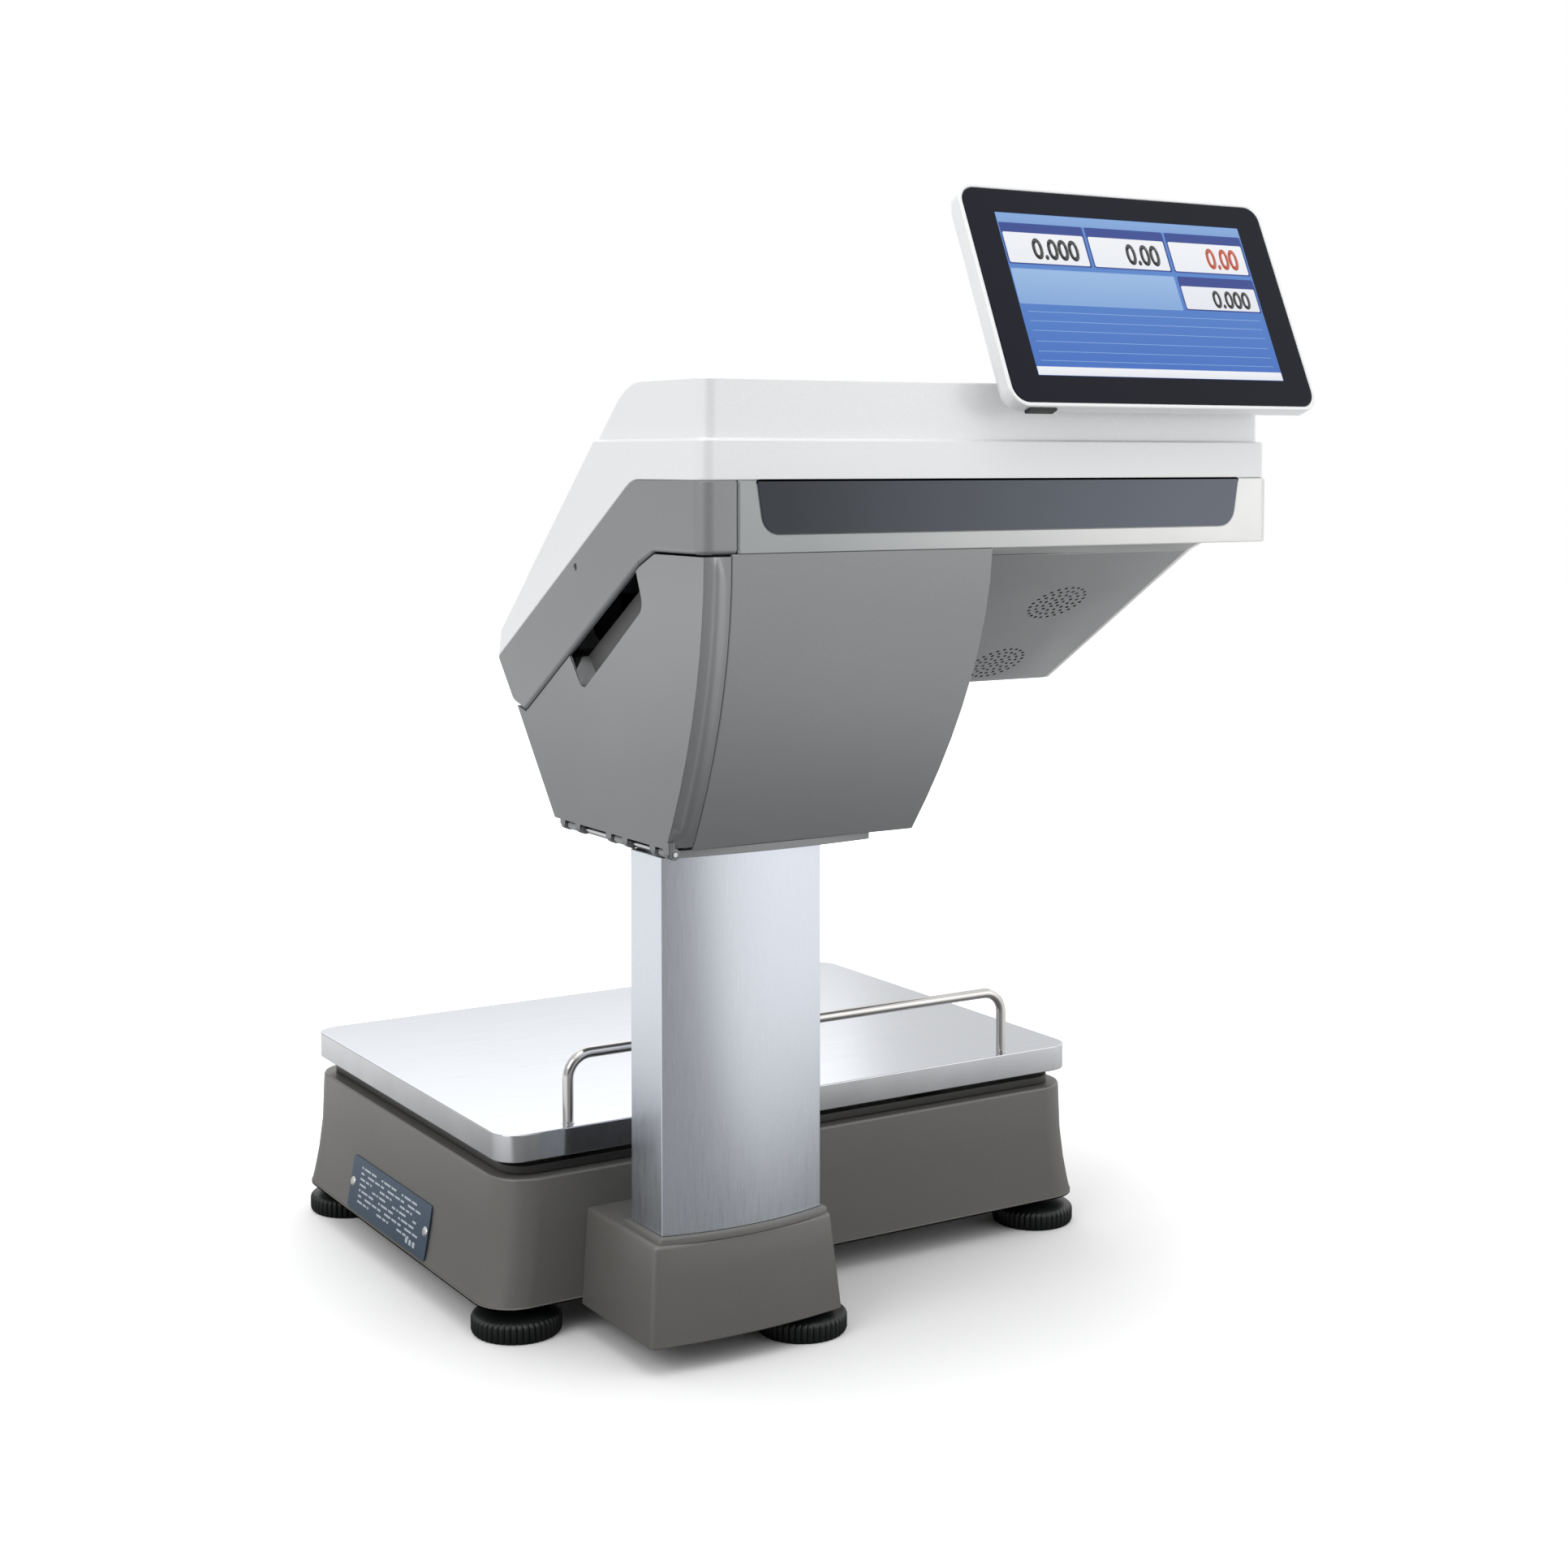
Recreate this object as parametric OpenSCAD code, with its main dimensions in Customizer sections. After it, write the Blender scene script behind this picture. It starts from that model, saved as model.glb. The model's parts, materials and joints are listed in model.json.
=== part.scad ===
// Retail price scale: weighing base, column, printer head and two displays.
// Millimetres, +Z up. The operator stands at -Y and the customer at +Y.
// The label printer and its side door are on the +X side.
// Places are given from the centre of the weighing base; placed() moves them to
// the part's own frame, whose origin is under the centre of the whole object.

/* [Platter] */
// Width of the platter, along X
platter_w = 380; // [372:1:384]
// Depth of the platter, along Y
platter_d = 278; // [270:1:282]
// Height of the weighing surface above the counter
platter_z = 111; // [109:0.5:114]
// Height of the folded skirt
skirt_h = 15; // [10:1:16]
// Thickness of the platter sheet
platter_t = 1.5; // [1:0.1:2]
// Diameter of the guard rail's rod
rail_d = 6; // [4:0.5:8]
// Height of the guard rail above the platter
rail_h = 40; // [30:1:60]

/* [Base] */
// Width of the base at its top
base_w = 380; // [376:1:384]
// Depth of the base at its top
base_d = 280; // [276:1:284]
// How far each side flares out at the bottom
base_flare = 8; // [4:1:12]
// Height of the base's bottom edge above the counter
base_z0 = 18; // [16:1:20]
// Height of the base's shoulder above the counter
base_z1 = 87; // [84:1:88]
// Radius of the levelling feet
foot_r = 24.5; // [18:0.5:25]

/* [Column] */
// Width of the column
column_w = 96; // [80:1:100]
// Depth of the column's flat sides
column_side = 33; // [28:1:36]
// How far the customer face of the column bows out
column_bow = 7; // [3:1:10]
// Centre of the column along X
column_x = 86.5; // [80:0.5:92]
// Back of the column along Y
column_y = 178.5; // [174:0.5:182]

/* [Head] */
// Printer side of the head
head_x1 = 139.5; // [138:0.5:142]
// Console side of the head
head_x0 = -229; // [-240:1:-220]
// Customer face of the head
face_y = 262; // [260:0.5:264]
// Top of the head
top_z = 506; // [500:1:512]
// Bottom of the printer housing
housing_z = 269; // [268:0.5:270]
// Wall thickness of the covers
wall = 2.5; // [2:0.1:3]

/* [Displays] */
// Width of the customer display
display_w = 214; // [200:1:220]
// Height of the customer display
display_h = 130; // [120:1:134]
// Thickness of the customer display
display_t = 16; // [14:1:18]
// Backward tilt of the customer display
display_tilt = 24; // [22:1:28]
// Width of the operator's touchscreen
touch_w = 318; // [280:1:330]
// Height of the operator's touchscreen along its slope
touch_h = 168; // [140:1:172]

/* [Printer] */
// Outer radius of a full label roll
roll_r = 48; // [30:1:50]
// Width of the label roll
roll_w = 60; // [40:1:62]
// Opening angle of the printer door, 0 is shut
door_angle = 0; // [0:5:90]

/* [Hidden] */

$fn = 64;
eps = 0.01;
// Base centre in the part's frame
base_x = 23;
base_y = -70.5;
// Corner radii of the platter and of the base
platter_r = 14;
base_r = 22;
// Inside of the base
cavity_w = base_w - 6;
cavity_d = base_d - 6;
deck_top = base_z1 + 5;
// Rating plate: middle height and size up the side
plate_z = 36;
plate_h = 31;
carrier_z = 82;
post_x = 120;
post_y = 80;
pad_top = platter_z - platter_t;
// Guard rail legs
rail_x1 = 148;
rail_x0 = -141;
rail_y = 132;
rail_bend = 13;
// Levelling feet: the four corners of the base and the column foot
foot_x = 174;
foot_y = 121;
feet = [[foot_x, foot_y], [-foot_x, foot_y], [foot_x, -foot_y], [-foot_x, -foot_y], [43, 200]];
stud_r = 4;
stud_play = 0.05;
// Column foot and column heights
block_z0 = 15;
block_z1 = 66.4;
block_w = 107;
block_taper = 4.5;
column_z0 = block_z1 + 3;
floor_z = housing_z - 4;
bolt_dx = 30;
bolt_hole_r = 3.3;
bolt_y = column_y + 16;
// Middle of the head, and the heights of the lines round it
mid_x = (head_x0 + head_x1) / 2;
ledge_z = 476;
seam_z = 456;
band_z = 420;
// Head corners in the YZ plane
slope_foot = [31.6, 369.5];
slope_angle = 42.4;
nose_tip = [28.3, 354];
nose_low = [49, 330];
under_low = [62, 327];
under_high = [196, 413];
under_end = [212, 420];
corner_r = 8;
// Where the door meets the fixed covers
door_x = 122;
door_gap = 1.2;
door_face_x = head_x1 - 1.5;
hinge_x = 134.5;
hinge_z = housing_z - 0.5;
hinge_r = 1.25;
knuckles = [[104, 110], [122, 128], [158, 164], [176, 182], [206, 212], [220, 226]];
lugs = [[111, 121], [165, 175], [213, 219]];
// Printer parts
roll_y = 182;
roll_z = 352;
roll_x = 84;
spindle_r = 11;
running_gap = 0.05;
takeup_y = 108;
takeup_z = 384;
takeup_r = 3;
platen_y = 88;
platen_z = 314;
shaft_r = 2;
lever_y = platen_y + 8;
lever_z = platen_z + 32;
// Customer display
display_pos = [-137.5, 260, 553];
display_axis = [-22, -5];
display_pin_r = 3;
ear_r = 6;
// Speaker grilles, by X and by distance down the underside
grilles = [[-170, 59], [-173, 134.5]];
grille_r = 21;

// ---------- shared shapes ----------

module placed() {
  translate([base_x, base_y, 0]) children();
}

// Rectangle with true round corners, centred
module rounded_rect(w, d, r) {
  square([w - 2 * r, d], center = true);
  square([w, d - 2 * r], center = true);
  for (x = [-1, 1], y = [-1, 1]) translate([x * (w / 2 - r), y * (d / 2 - r)]) circle(r);
}

module slab(w, d, h, r) {
  linear_extrude(h) rounded_rect(w, d, r);
}

// Arc points that round the corner b between a and c
function unit(v) = v / norm(v);
function corner_arc(a, b, c, r, n) =
  let (
    u = unit(a - b),
    v = unit(c - b),
    half = acos(u * v) / 2,
    centre = b + unit(u + v) * r / sin(half),
    p = b + u * r / tan(half) - centre,
    q = b + v * r / tan(half) - centre,
    sweep = 180 - 2 * half,
    side = sign(p[0] * q[1] - p[1] * q[0])
  )
  [for (i = [0:n]) let (t = side * sweep * i / n)
    centre + [p[0] * cos(t) - p[1] * sin(t), p[0] * sin(t) + p[1] * cos(t)]];

// A YZ outline drawn out along X from x0 to x1
module along_x(x0, x1) {
  translate([x0, 0, 0]) rotate([90, 0, 90]) linear_extrude(x1 - x0) children();
}

// An XZ outline drawn out along Y from y0 to y1
module along_y(y0, y1) {
  translate([0, y1, 0]) rotate([90, 0, 0]) linear_extrude(y1 - y0) children();
}

module rod_x(x0, x1, y, z, r) {
  translate([x0, y, z]) rotate([0, 90, 0]) cylinder(h = x1 - x0, r = r);
}

module rod_y(y0, y1, x, z, r) {
  translate([x, y1, z]) rotate([90, 0, 0]) cylinder(h = y1 - y0, r = r);
}

// A rectangle with one bowed side, back edge on y = 0
module bowed_rect(w, side, bow) {
  bow_r = (w * w / 4 + bow * bow) / (2 * bow);
  intersection() {
    translate([-w / 2, 0]) square([w, side + bow]);
    translate([0, side + bow - bow_r]) circle(bow_r, $fn = 256);
  }
}

// ---------- weighing base ----------

function flare_at(z) = pow((base_z1 - z) / (base_z1 - base_z0), 2.2);

module base_slice(z) {
  s = 2 * base_flare * flare_at(z);
  translate([0, 0, z]) linear_extrude(eps) rounded_rect(base_w + s, base_d + s * 0.3, base_r, $fn = 32);
}

module base_outer() {
  levels = [base_z0, 27, 40, 58, base_z1 - eps];
  for (i = [0:3]) hull() {
    base_slice(levels[i]);
    base_slice(levels[i + 1]);
  }
}

module base_housing() {
  color([0.4, 0.39, 0.37]) placed() difference() {
    base_outer();
    translate([0, 0, base_z0 - 1]) slab(cavity_w, cavity_d, base_z1 - base_z0 - 2, base_r - 3);
    slab(340, 240, 120, 12);
    // Pocket and openings for the power inlet and its switch
    translate([-210, -100, 38]) cube([21, 62, 28]);
    translate([-190, -96, 43]) cube([10, 28, 18]);
    translate([-190, -62, 43]) cube([10, 20, 18]);
    // Slot for the column's wiring
    translate([column_x - 15, 130, 40]) cube([30, 20, 14]);
  }
}

module base_deck() {
  color([0.16, 0.16, 0.16]) placed() difference() {
    translate([0, 0, base_z1]) slab(366, 266, 5, 16);
    for (x = [-1, 1], y = [-1, 1]) translate([x * post_x, y * post_y, 80]) cylinder(h = 20, r = 12);
    translate([-150, -112, deck_top - 3]) cylinder(h = 5, r = 10);
  }
}

module base_plate() {
  color([0.55, 0.55, 0.54]) placed() difference() {
    union() {
      translate([0, 0, base_z0]) slab(cavity_w - 0.6, cavity_d - 0.6, 4, base_r - 3.3);
      for (i = [0:3]) translate([feet[i][0], feet[i][1], base_z0]) cylinder(h = 20, r = 8.5);
      for (y = [-45, 45]) translate([-165, y - 2, base_z0 + 4]) cube([330, 4, 8]);
      for (x = [-110, 110]) translate([x, 80, base_z0 - 3]) cylinder(h = 4, r = 5);
    }
    for (i = [0:3]) translate([feet[i][0], feet[i][1], 0]) cylinder(h = 60, r = stud_r + stud_play);
  }
}

module load_cell() {
  color([0.75, 0.76, 0.78]) placed() difference() {
    translate([-70, -18, 36]) cube([140, 36, 30]);
    for (x = [-13, 13]) rod_y(-20, 20, x, 51, 11);
    translate([-13, -20, 48]) cube([26, 40, 6]);
    for (x = [-60, -46], y = [-10, 10]) translate([x, y, 30]) cylinder(h = 40, r = bolt_hole_r);
    for (x = [46, 60], y = [-10, 10]) translate([x, y, 30]) cylinder(h = 40, r = bolt_hole_r);
  }
}

module load_cell_blocks() {
  color([0.6, 0.6, 0.6]) placed() {
    difference() {
      translate([-70, -18, base_z0 + 4]) cube([34, 36, 14]);
      for (x = [-60, -46], y = [-10, 10]) translate([x, y, 20]) cylinder(h = 20, r = bolt_hole_r);
    }
    difference() {
      translate([36, -18, 66]) cube([34, 36, 10]);
      for (x = [46, 60], y = [-10, 10]) translate([x, y, 60]) cylinder(h = 20, r = bolt_hole_r);
    }
  }
}

module load_cell_bolts() {
  color([0.3, 0.3, 0.3]) placed() for (y = [-10, 10]) {
    for (x = [-60, -46]) translate([x, y, 0]) {
      translate([0, 0, base_z0 + 4]) cylinder(h = 44, r = 3);
      translate([0, 0, 66]) cylinder(h = 6, r = 5);
    }
    for (x = [46, 60]) translate([x, y, 0]) {
      translate([0, 0, 36]) cylinder(h = 40, r = 3);
      translate([0, 0, 30]) cylinder(h = 6, r = 5);
    }
  }
}

module platter_carrier() {
  arm = norm([2 * post_x, 2 * post_y]);
  color([0.5, 0.5, 0.5]) placed() {
    translate([0, 0, 76]) linear_extrude(carrier_z - 76) {
      for (s = [-1, 1]) rotate(s * atan(post_y / post_x)) square([arm, 26], center = true);
      square([150, 60], center = true);
    }
    for (x = [-1, 1], y = [-1, 1]) translate([x * post_x, y * post_y, carrier_z]) {
      cylinder(h = pad_top - 8 - carrier_z, r = 8);
    }
  }
}

module platter_pads() {
  color([0.08, 0.08, 0.08]) placed() for (x = [-1, 1], y = [-1, 1]) {
    translate([x * post_x, y * post_y, pad_top - 8]) cylinder(h = 8, r = 10);
  }
}

module bubble_level() {
  color([0.75, 0.85, 0.35]) placed() translate([-150, -112, deck_top - 3]) {
    difference() {
      cylinder(h = 3.6, r = 9.8);
      translate([0, 0, 1]) cylinder(h = 4, r = 7.5);
    }
    translate([0, 0, 1]) cylinder(h = 2.2, r = 7.4);
  }
}

// Leans a flat piece of height h against the flared +X side of the base, on its two long edges
module on_side_wall(z, h) {
  low = flare_at(z - h / 2) * base_flare;
  high = flare_at(z + h / 2) * base_flare;
  translate([base_w / 2 + (low + high) / 2 + 0.25, -6, z]) rotate([0, -atan((low - high) / h), 0]) children();
}

module rating_plate() {
  color([0.45, 0.53, 0.6]) placed() on_side_wall(plate_z, plate_h) difference() {
    rotate([0, 90, 0]) slab(plate_h, 116, 0.8, 2);
    for (y = [-54, 54]) translate([-3, y, 0]) rotate([0, 90, 0]) cylinder(h = 8, r = 1.6);
  }
}

module rating_rivets() {
  color([0.85, 0.85, 0.85]) placed() on_side_wall(plate_z, plate_h) for (y = [-54, 54]) translate([0, y, 0]) {
    rotate([0, 90, 0]) cylinder(h = 0.9, r = 1.5);
    translate([0.8, 0, 0]) rotate([0, 90, 0]) cylinder(h = 0.9, r1 = 3.2, r2 = 2);
  }
}

module weighing_board() {
  color([0.1, 0.35, 0.2]) placed() {
    translate([-150, 62, 30]) cube([90, 56, 1.6]);
    for (x = [-144, -66], y = [68, 112]) translate([x, y, base_z0 + 4]) cylinder(h = 8, r = 3);
    translate([-125, 78, 31.6]) cube([22, 22, 3]);
    translate([-90, 74, 31.6]) cube([16, 30, 8]);
  }
}

module power_supply() {
  color([0.7, 0.7, 0.7]) placed() difference() {
    translate([-150, -112, base_z0 + 12]) cube([110, 58, 30]);
    for (i = [0:7]) translate([-140 + i * 12, -100, 50]) cube([5, 34, 20]);
  }
}

module power_inlet() {
  color([0.07, 0.07, 0.07]) placed() {
    difference() {
      union() {
        translate([-191, -98, 41]) cube([2, 58, 22]);
        translate([-189.2, -95.5, 43.5]) cube([20, 27, 17]);
        translate([-189.2, -61.5, 43.5]) cube([16, 19, 17]);
      }
      translate([-192, -93.5, 45.5]) cube([20, 23, 13]);
      translate([-192, -60.5, 44.4]) cube([17, 17, 15.2]);
    }
    for (i = [-1:1]) translate([-184, -83 + i * 7, 50 + (i == 0 ? 2 : -1)]) cube([13, 2, 4]);
  }
}

// The rocker sits in its own frame and turns about the Z axis through its middle
module power_switch() {
  color([0.06, 0.06, 0.06]) placed() translate([-182.2, -52, 52]) intersection() {
    translate([-12, -6.9, -7.3]) cube([17, 13.8, 14.6]);
    translate([0, 0, -8]) cylinder(h = 16, r = 9.6);
    rotate([0, 0, -12]) translate([-30, -20, -20]) cube([40, 28, 40]);
  }
}

// ---------- platter ----------

module platter() {
  color([0.8, 0.81, 0.83]) placed() difference() {
    translate([0, 0, platter_z - skirt_h]) slab(platter_w, platter_d, skirt_h, platter_r);
    translate([0, 0, platter_z - skirt_h - 1]) {
      slab(platter_w - 2 * platter_t, platter_d - 2 * platter_t, skirt_h + 1 - platter_t, platter_r - platter_t);
    }
    for (x = [rail_x0, rail_x1]) translate([x, rail_y, 90]) cylinder(h = 40, r = rail_d / 2 + running_gap);
  }
}

module guard_rail() {
  rod = rail_d / 2;
  bend_z = platter_z + rail_h - rod - rail_bend;
  color([0.8, 0.8, 0.8]) placed() {
    for (x = [rail_x0, rail_x1]) translate([x, rail_y, 101]) cylinder(h = bend_z - 101, r = rod);
    translate([rail_x1 - rail_bend, rail_y, bend_z]) rotate([90, 0, 0]) {
      rotate_extrude(angle = 90) translate([rail_bend, 0]) circle(rod, $fn = 32);
    }
    translate([rail_x0 + rail_bend, rail_y, bend_z]) rotate([90, 0, 0]) rotate([0, 0, 90]) {
      rotate_extrude(angle = 90) translate([rail_bend, 0]) circle(rod, $fn = 32);
    }
    rod_x(rail_x0 + rail_bend, rail_x1 - rail_bend, rail_y, bend_z + rail_bend, rod);
  }
}

module rail_nuts() {
  color([0.7, 0.7, 0.7]) placed() for (x = [rail_x0, rail_x1]) translate([x, rail_y, pad_top - 5]) {
    difference() {
      cylinder(h = 5, r = 5.5, $fn = 6);
      translate([0, 0, -1]) cylinder(h = 8, r = rail_d / 2 + running_gap);
    }
  }
}

// ---------- feet ----------

module foot_wheel(i) {
  color([0.05, 0.05, 0.05]) placed() translate([feet[i][0], feet[i][1], 0]) difference() {
    rotate_extrude() polygon([
      [0, 0], [foot_r - 3, 0], [foot_r - 0.5, 1.5], [foot_r, 3], [foot_r, 9.5], [foot_r - 1.5, 11],
      [foot_r - 6, 12.6], [foot_r - 13, 13.6], [6, 14], [0, 14]
    ]);
    translate([0, 0, 4]) cylinder(h = 20, r = stud_r - 0.1);
  }
}

module foot_stud(i) {
  color([0.75, 0.75, 0.75]) placed() translate([feet[i][0], feet[i][1], 0]) {
    translate([0, 0, 4]) cylinder(h = 10, r = stud_r - 0.15);
    translate([0, 0, 14]) cylinder(h = 22, r = stud_r);
  }
}

// ---------- column ----------

module block_shape(grow) {
  bowed_rect(block_w + 2 * grow, 36 + 39 + grow, 5, $fn = 64);
}

module column_foot() {
  color([0.4, 0.39, 0.37]) placed() difference() {
    union() {
      translate([column_x + 1, base_d / 2 + 0.5, 0]) hull() {
        translate([0, 0, block_z1 - eps]) linear_extrude(eps) block_shape(0);
        translate([0, 0, block_z0]) linear_extrude(eps) block_shape(block_taper);
      }
      translate([column_x, column_y - 3, block_z1 - 1]) {
        linear_extrude(column_z0 - block_z1 + 1) bowed_rect(column_w + 6, column_side + 6, column_bow);
      }
    }
    // Hollow from below
    difference() {
      translate([column_x - 46, base_d / 2 + 7, block_z0 - 1]) cube([96, 60, block_z1 - 7 - block_z0 + 1]);
      translate([feet[4][0], feet[4][1], 0]) cylinder(h = 60, r = 8.5);
    }
    base_outer();
    translate([feet[4][0], feet[4][1], 0]) cylinder(h = 50, r = stud_r + stud_play);
    // Wiring passage from the base, up into the column
    translate([column_x - 15, 130, 40]) cube([30, 30, 14]);
    translate([column_x, bolt_y, 50]) cylinder(h = 40, r = 12);
    for (x = [-bolt_dx, bolt_dx]) translate([column_x + x, bolt_y, 40]) cylinder(h = 40, r = bolt_hole_r);
  }
}

module column() {
  color([0.76, 0.78, 0.82]) placed() translate([column_x, column_y, column_z0]) {
    linear_extrude(floor_z - column_z0) {
      difference() {
        bowed_rect(column_w, column_side, column_bow);
        translate([0, 2.5]) bowed_rect(column_w - 5, column_side - 5.2, column_bow);
      }
      // Screw channels down both sides
      for (s = [-1, 1]) translate([s * bolt_dx, bolt_y - column_y]) difference() {
        union() {
          circle(6);
          translate([s > 0 ? 0 : -17, -2.5]) square([17, 5]);
        }
        circle(3);
      }
    }
  }
}

module column_bolts() {
  color([0.35, 0.35, 0.35]) placed() for (x = [-bolt_dx, bolt_dx]) translate([column_x + x, bolt_y, 0]) {
    translate([0, 0, block_z1 - 7 - 5]) cylinder(h = 5, r = 5.5);
    translate([0, 0, block_z1 - 7]) cylinder(h = 30, r = 2.95);
    translate([0, 0, floor_z - 20]) cylinder(h = 20 + 7, r = 2.95);
    translate([0, 0, housing_z + 3]) cylinder(h = 5, r = 5.5);
  }
}

module column_harness() {
  color([0.1, 0.1, 0.1]) placed() {
    translate([column_x, bolt_y, 47]) cylinder(h = 240, r = 5);
    rod_y(126, bolt_y, column_x, 47, 5);
    translate([column_x, bolt_y, 47]) sphere(5);
  }
}

// ---------- printer housing ----------

// Customer face and console-side face of the printer housing, curving in towards the bottom
function drop_at(z) = (band_z - z) / (band_z - housing_z);
function housing_y(z) = face_y - 40 * pow(max(drop_at(z), 0), 2);
function housing_x(z) = -36 + 23 * pow(max(drop_at(z), 0), 1.4);
curve_n = 9;
function level(i) = housing_z + (band_z - housing_z) * i / curve_n;

module housing_side(inset) {
  polygon(concat(
    [[99 + inset, housing_z - 10], [99 + inset * 0.6, housing_z], nose_low + [inset * 1.3, 0], [49 + inset, 440]],
    [[housing_y(band_z) - inset, 440]],
    [for (i = [curve_n:-1:0]) [housing_y(level(i)) - inset, level(i)]],
    [[housing_y(housing_z) - inset, housing_z - 10]]
  ));
}

module housing_front(inset, x_end) {
  polygon(concat(
    [[x_end, housing_z - 10], [x_end, 440], [housing_x(band_z) + inset, 440]],
    [for (i = [curve_n:-1:0]) [housing_x(level(i)) + inset, level(i)]],
    [[housing_x(housing_z) + inset, housing_z - 10]]
  ));
}

module housing_solid(inset, x_end) {
  intersection() {
    along_x(-60, x_end) housing_side(inset);
    along_y(0, 300) housing_front(inset, x_end);
    translate([-100, 0, housing_z]) cube([300, 300, 200]);
  }
}

// Everything inside the console's lower outline, used to trim the housing
module console_lower_outline(gap) {
  polygon([
    [300, band_z - gap], [300, 600], [0, 600], [0, 354], [28.3 - gap, 354], nose_low - [gap, gap],
    under_low - [0, gap], under_high - [0, gap], under_end - [0, gap]
  ]);
}

module printer_housing() {
  color([0.43, 0.43, 0.42]) placed() difference() {
    housing_solid(0, door_x);
    housing_solid(wall, door_x + 10);
    along_x(-100, 200) console_lower_outline(0);
    // Label outlet in the operator's face
    translate([50, 60, 302]) cube([68, 30, 9]);
  }
}

module housing_floor() {
  color([0.38, 0.38, 0.37]) placed() {
    difference() {
      translate([12, 97, floor_z]) linear_extrude(4) {
        square([119, 115]);
        translate([59.5, 100]) bowed_rect(119, 21, 4);
      }
      for (x = [-bolt_dx, bolt_dx]) translate([column_x + x, bolt_y, 250]) cylinder(h = 40, r = bolt_hole_r);
      translate([column_x, bolt_y, 250]) cylinder(h = 40, r = 12);
    }
    // Hinge lugs between the door's knuckles
    for (g = lugs) difference() {
      union() {
        rod_y(g[0], g[1], hinge_x, hinge_z, 2.4);
        translate([129, g[0], floor_z + 1]) cube([hinge_x - 129, g[1] - g[0], 3]);
      }
      rod_y(g[0] - 1, g[1] + 1, hinge_x, hinge_z, hinge_r + running_gap);
    }
  }
}

module door_pull_outline(grow) {
  // Rounded scoop under the band, given in the YZ plane
  polygon(concat(
    [[112 - grow, 366], [188 + grow, 420]],
    corner_arc([188 + grow, 420], [200 + grow, 391 - grow], [133, 340 - grow], 7, 5),
    corner_arc([200 + grow, 391 - grow], [132 - grow, 343 - grow], [112 - grow, 366], 7, 5)
  ));
}

module printer_door() {
  color([0.43, 0.43, 0.42]) placed()
  translate([hinge_x, 0, hinge_z]) rotate([0, door_angle, 0]) translate([-hinge_x, 0, -hinge_z]) {
    difference() {
      intersection() {
        housing_solid(0, door_face_x);
        translate([door_x + 0.5, 0, housing_z + 2]) cube([40, 300, 200]);
        // Round the customer-side edge
        along_x(0, 200) housing_side(0);
      }
      translate([0, 0, -20]) intersection() {
        along_x(-60, door_face_x - wall) translate([0, 20]) housing_side(wall);
        translate([-100, 0, housing_z]) cube([300, 300, 200]);
      }
      along_x(-100, 200) console_lower_outline(door_gap);
      along_x(110, 160) door_pull_outline(0);
    }
    // Scoop behind the finger recess
    difference() {
      intersection() {
        along_x(124, door_face_x - wall + eps) door_pull_outline(2);
        along_x(100, 200) housing_side(wall);
      }
      along_x(126, 160) door_pull_outline(0);
      along_x(-100, 200) console_lower_outline(door_gap + 1);
    }
    for (g = knuckles) difference() {
      union() {
        rod_y(g[0], g[1], hinge_x, hinge_z, 3);
        translate([hinge_x, g[0], hinge_z]) cube([door_face_x - hinge_x, g[1] - g[0], 6]);
      }
      rod_y(g[0] - 1, g[1] + 1, hinge_x, hinge_z, hinge_r + running_gap);
      translate([hinge_x - 8, g[0] - 1, hinge_z + 2.6]) cube([6, 20, 6]);
    }
  }
}

module door_hinge_pin() {
  color([0.8, 0.8, 0.8]) placed() rod_y(103, 227, hinge_x, hinge_z, hinge_r);
}

module printer_chassis() {
  color([0.6, 0.61, 0.62]) placed() difference() {
    union() {
      translate([20, 104, housing_z]) cube([104, 112, 3]);
      translate([36, 104, housing_z + 3]) cube([3, 112, 135]);
      translate([36, 80, 297]) cube([3, 26, 63]);
      translate([118, 84, 300]) cube([2, 10, 24]);
      translate([39, 84, 298]) cube([81, 10, 2]);
    }
    for (x = [-bolt_dx, bolt_dx]) translate([column_x + x, bolt_y, 260]) cylinder(h = 20, r = bolt_hole_r);
    translate([column_x, bolt_y, 250]) cylinder(h = 40, r = 12);
    rod_x(30, 45, takeup_y, takeup_z, takeup_r + running_gap);
    for (x = [30, 112]) rod_x(x, x + 12, platen_y, platen_z, shaft_r + running_gap);
    rod_x(30, 45, lever_y, lever_z, shaft_r + running_gap);
  }
}

module roll_spindle() {
  color([0.75, 0.75, 0.77]) placed() {
    rod_x(39, roll_x + roll_w / 2 + 5, roll_y, roll_z, spindle_r);
    rod_x(39, 43, roll_y, roll_z, 20);
  }
}

module label_roll() {
  color([0.93, 0.92, 0.88]) placed() difference() {
    rod_x(roll_x - roll_w / 2, roll_x + roll_w / 2, roll_y, roll_z, roll_r);
    rod_x(roll_x - roll_w, roll_x + roll_w, roll_y, roll_z, spindle_r + running_gap);
  }
}

module takeup_spool() {
  color([0.15, 0.15, 0.15]) placed() {
    rod_x(35, 112, takeup_y, takeup_z, takeup_r);
    rod_x(42, 44, takeup_y, takeup_z, 18);
    rod_x(44, 110, takeup_y, takeup_z, 9);
    rod_x(110, 112, takeup_y, takeup_z, 18);
  }
}

module platen_roller() {
  color([0.12, 0.12, 0.12]) placed() {
    rod_x(32, 122, platen_y, platen_z, shaft_r);
    rod_x(44, 114, platen_y, platen_z, 7);
  }
}

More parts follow.
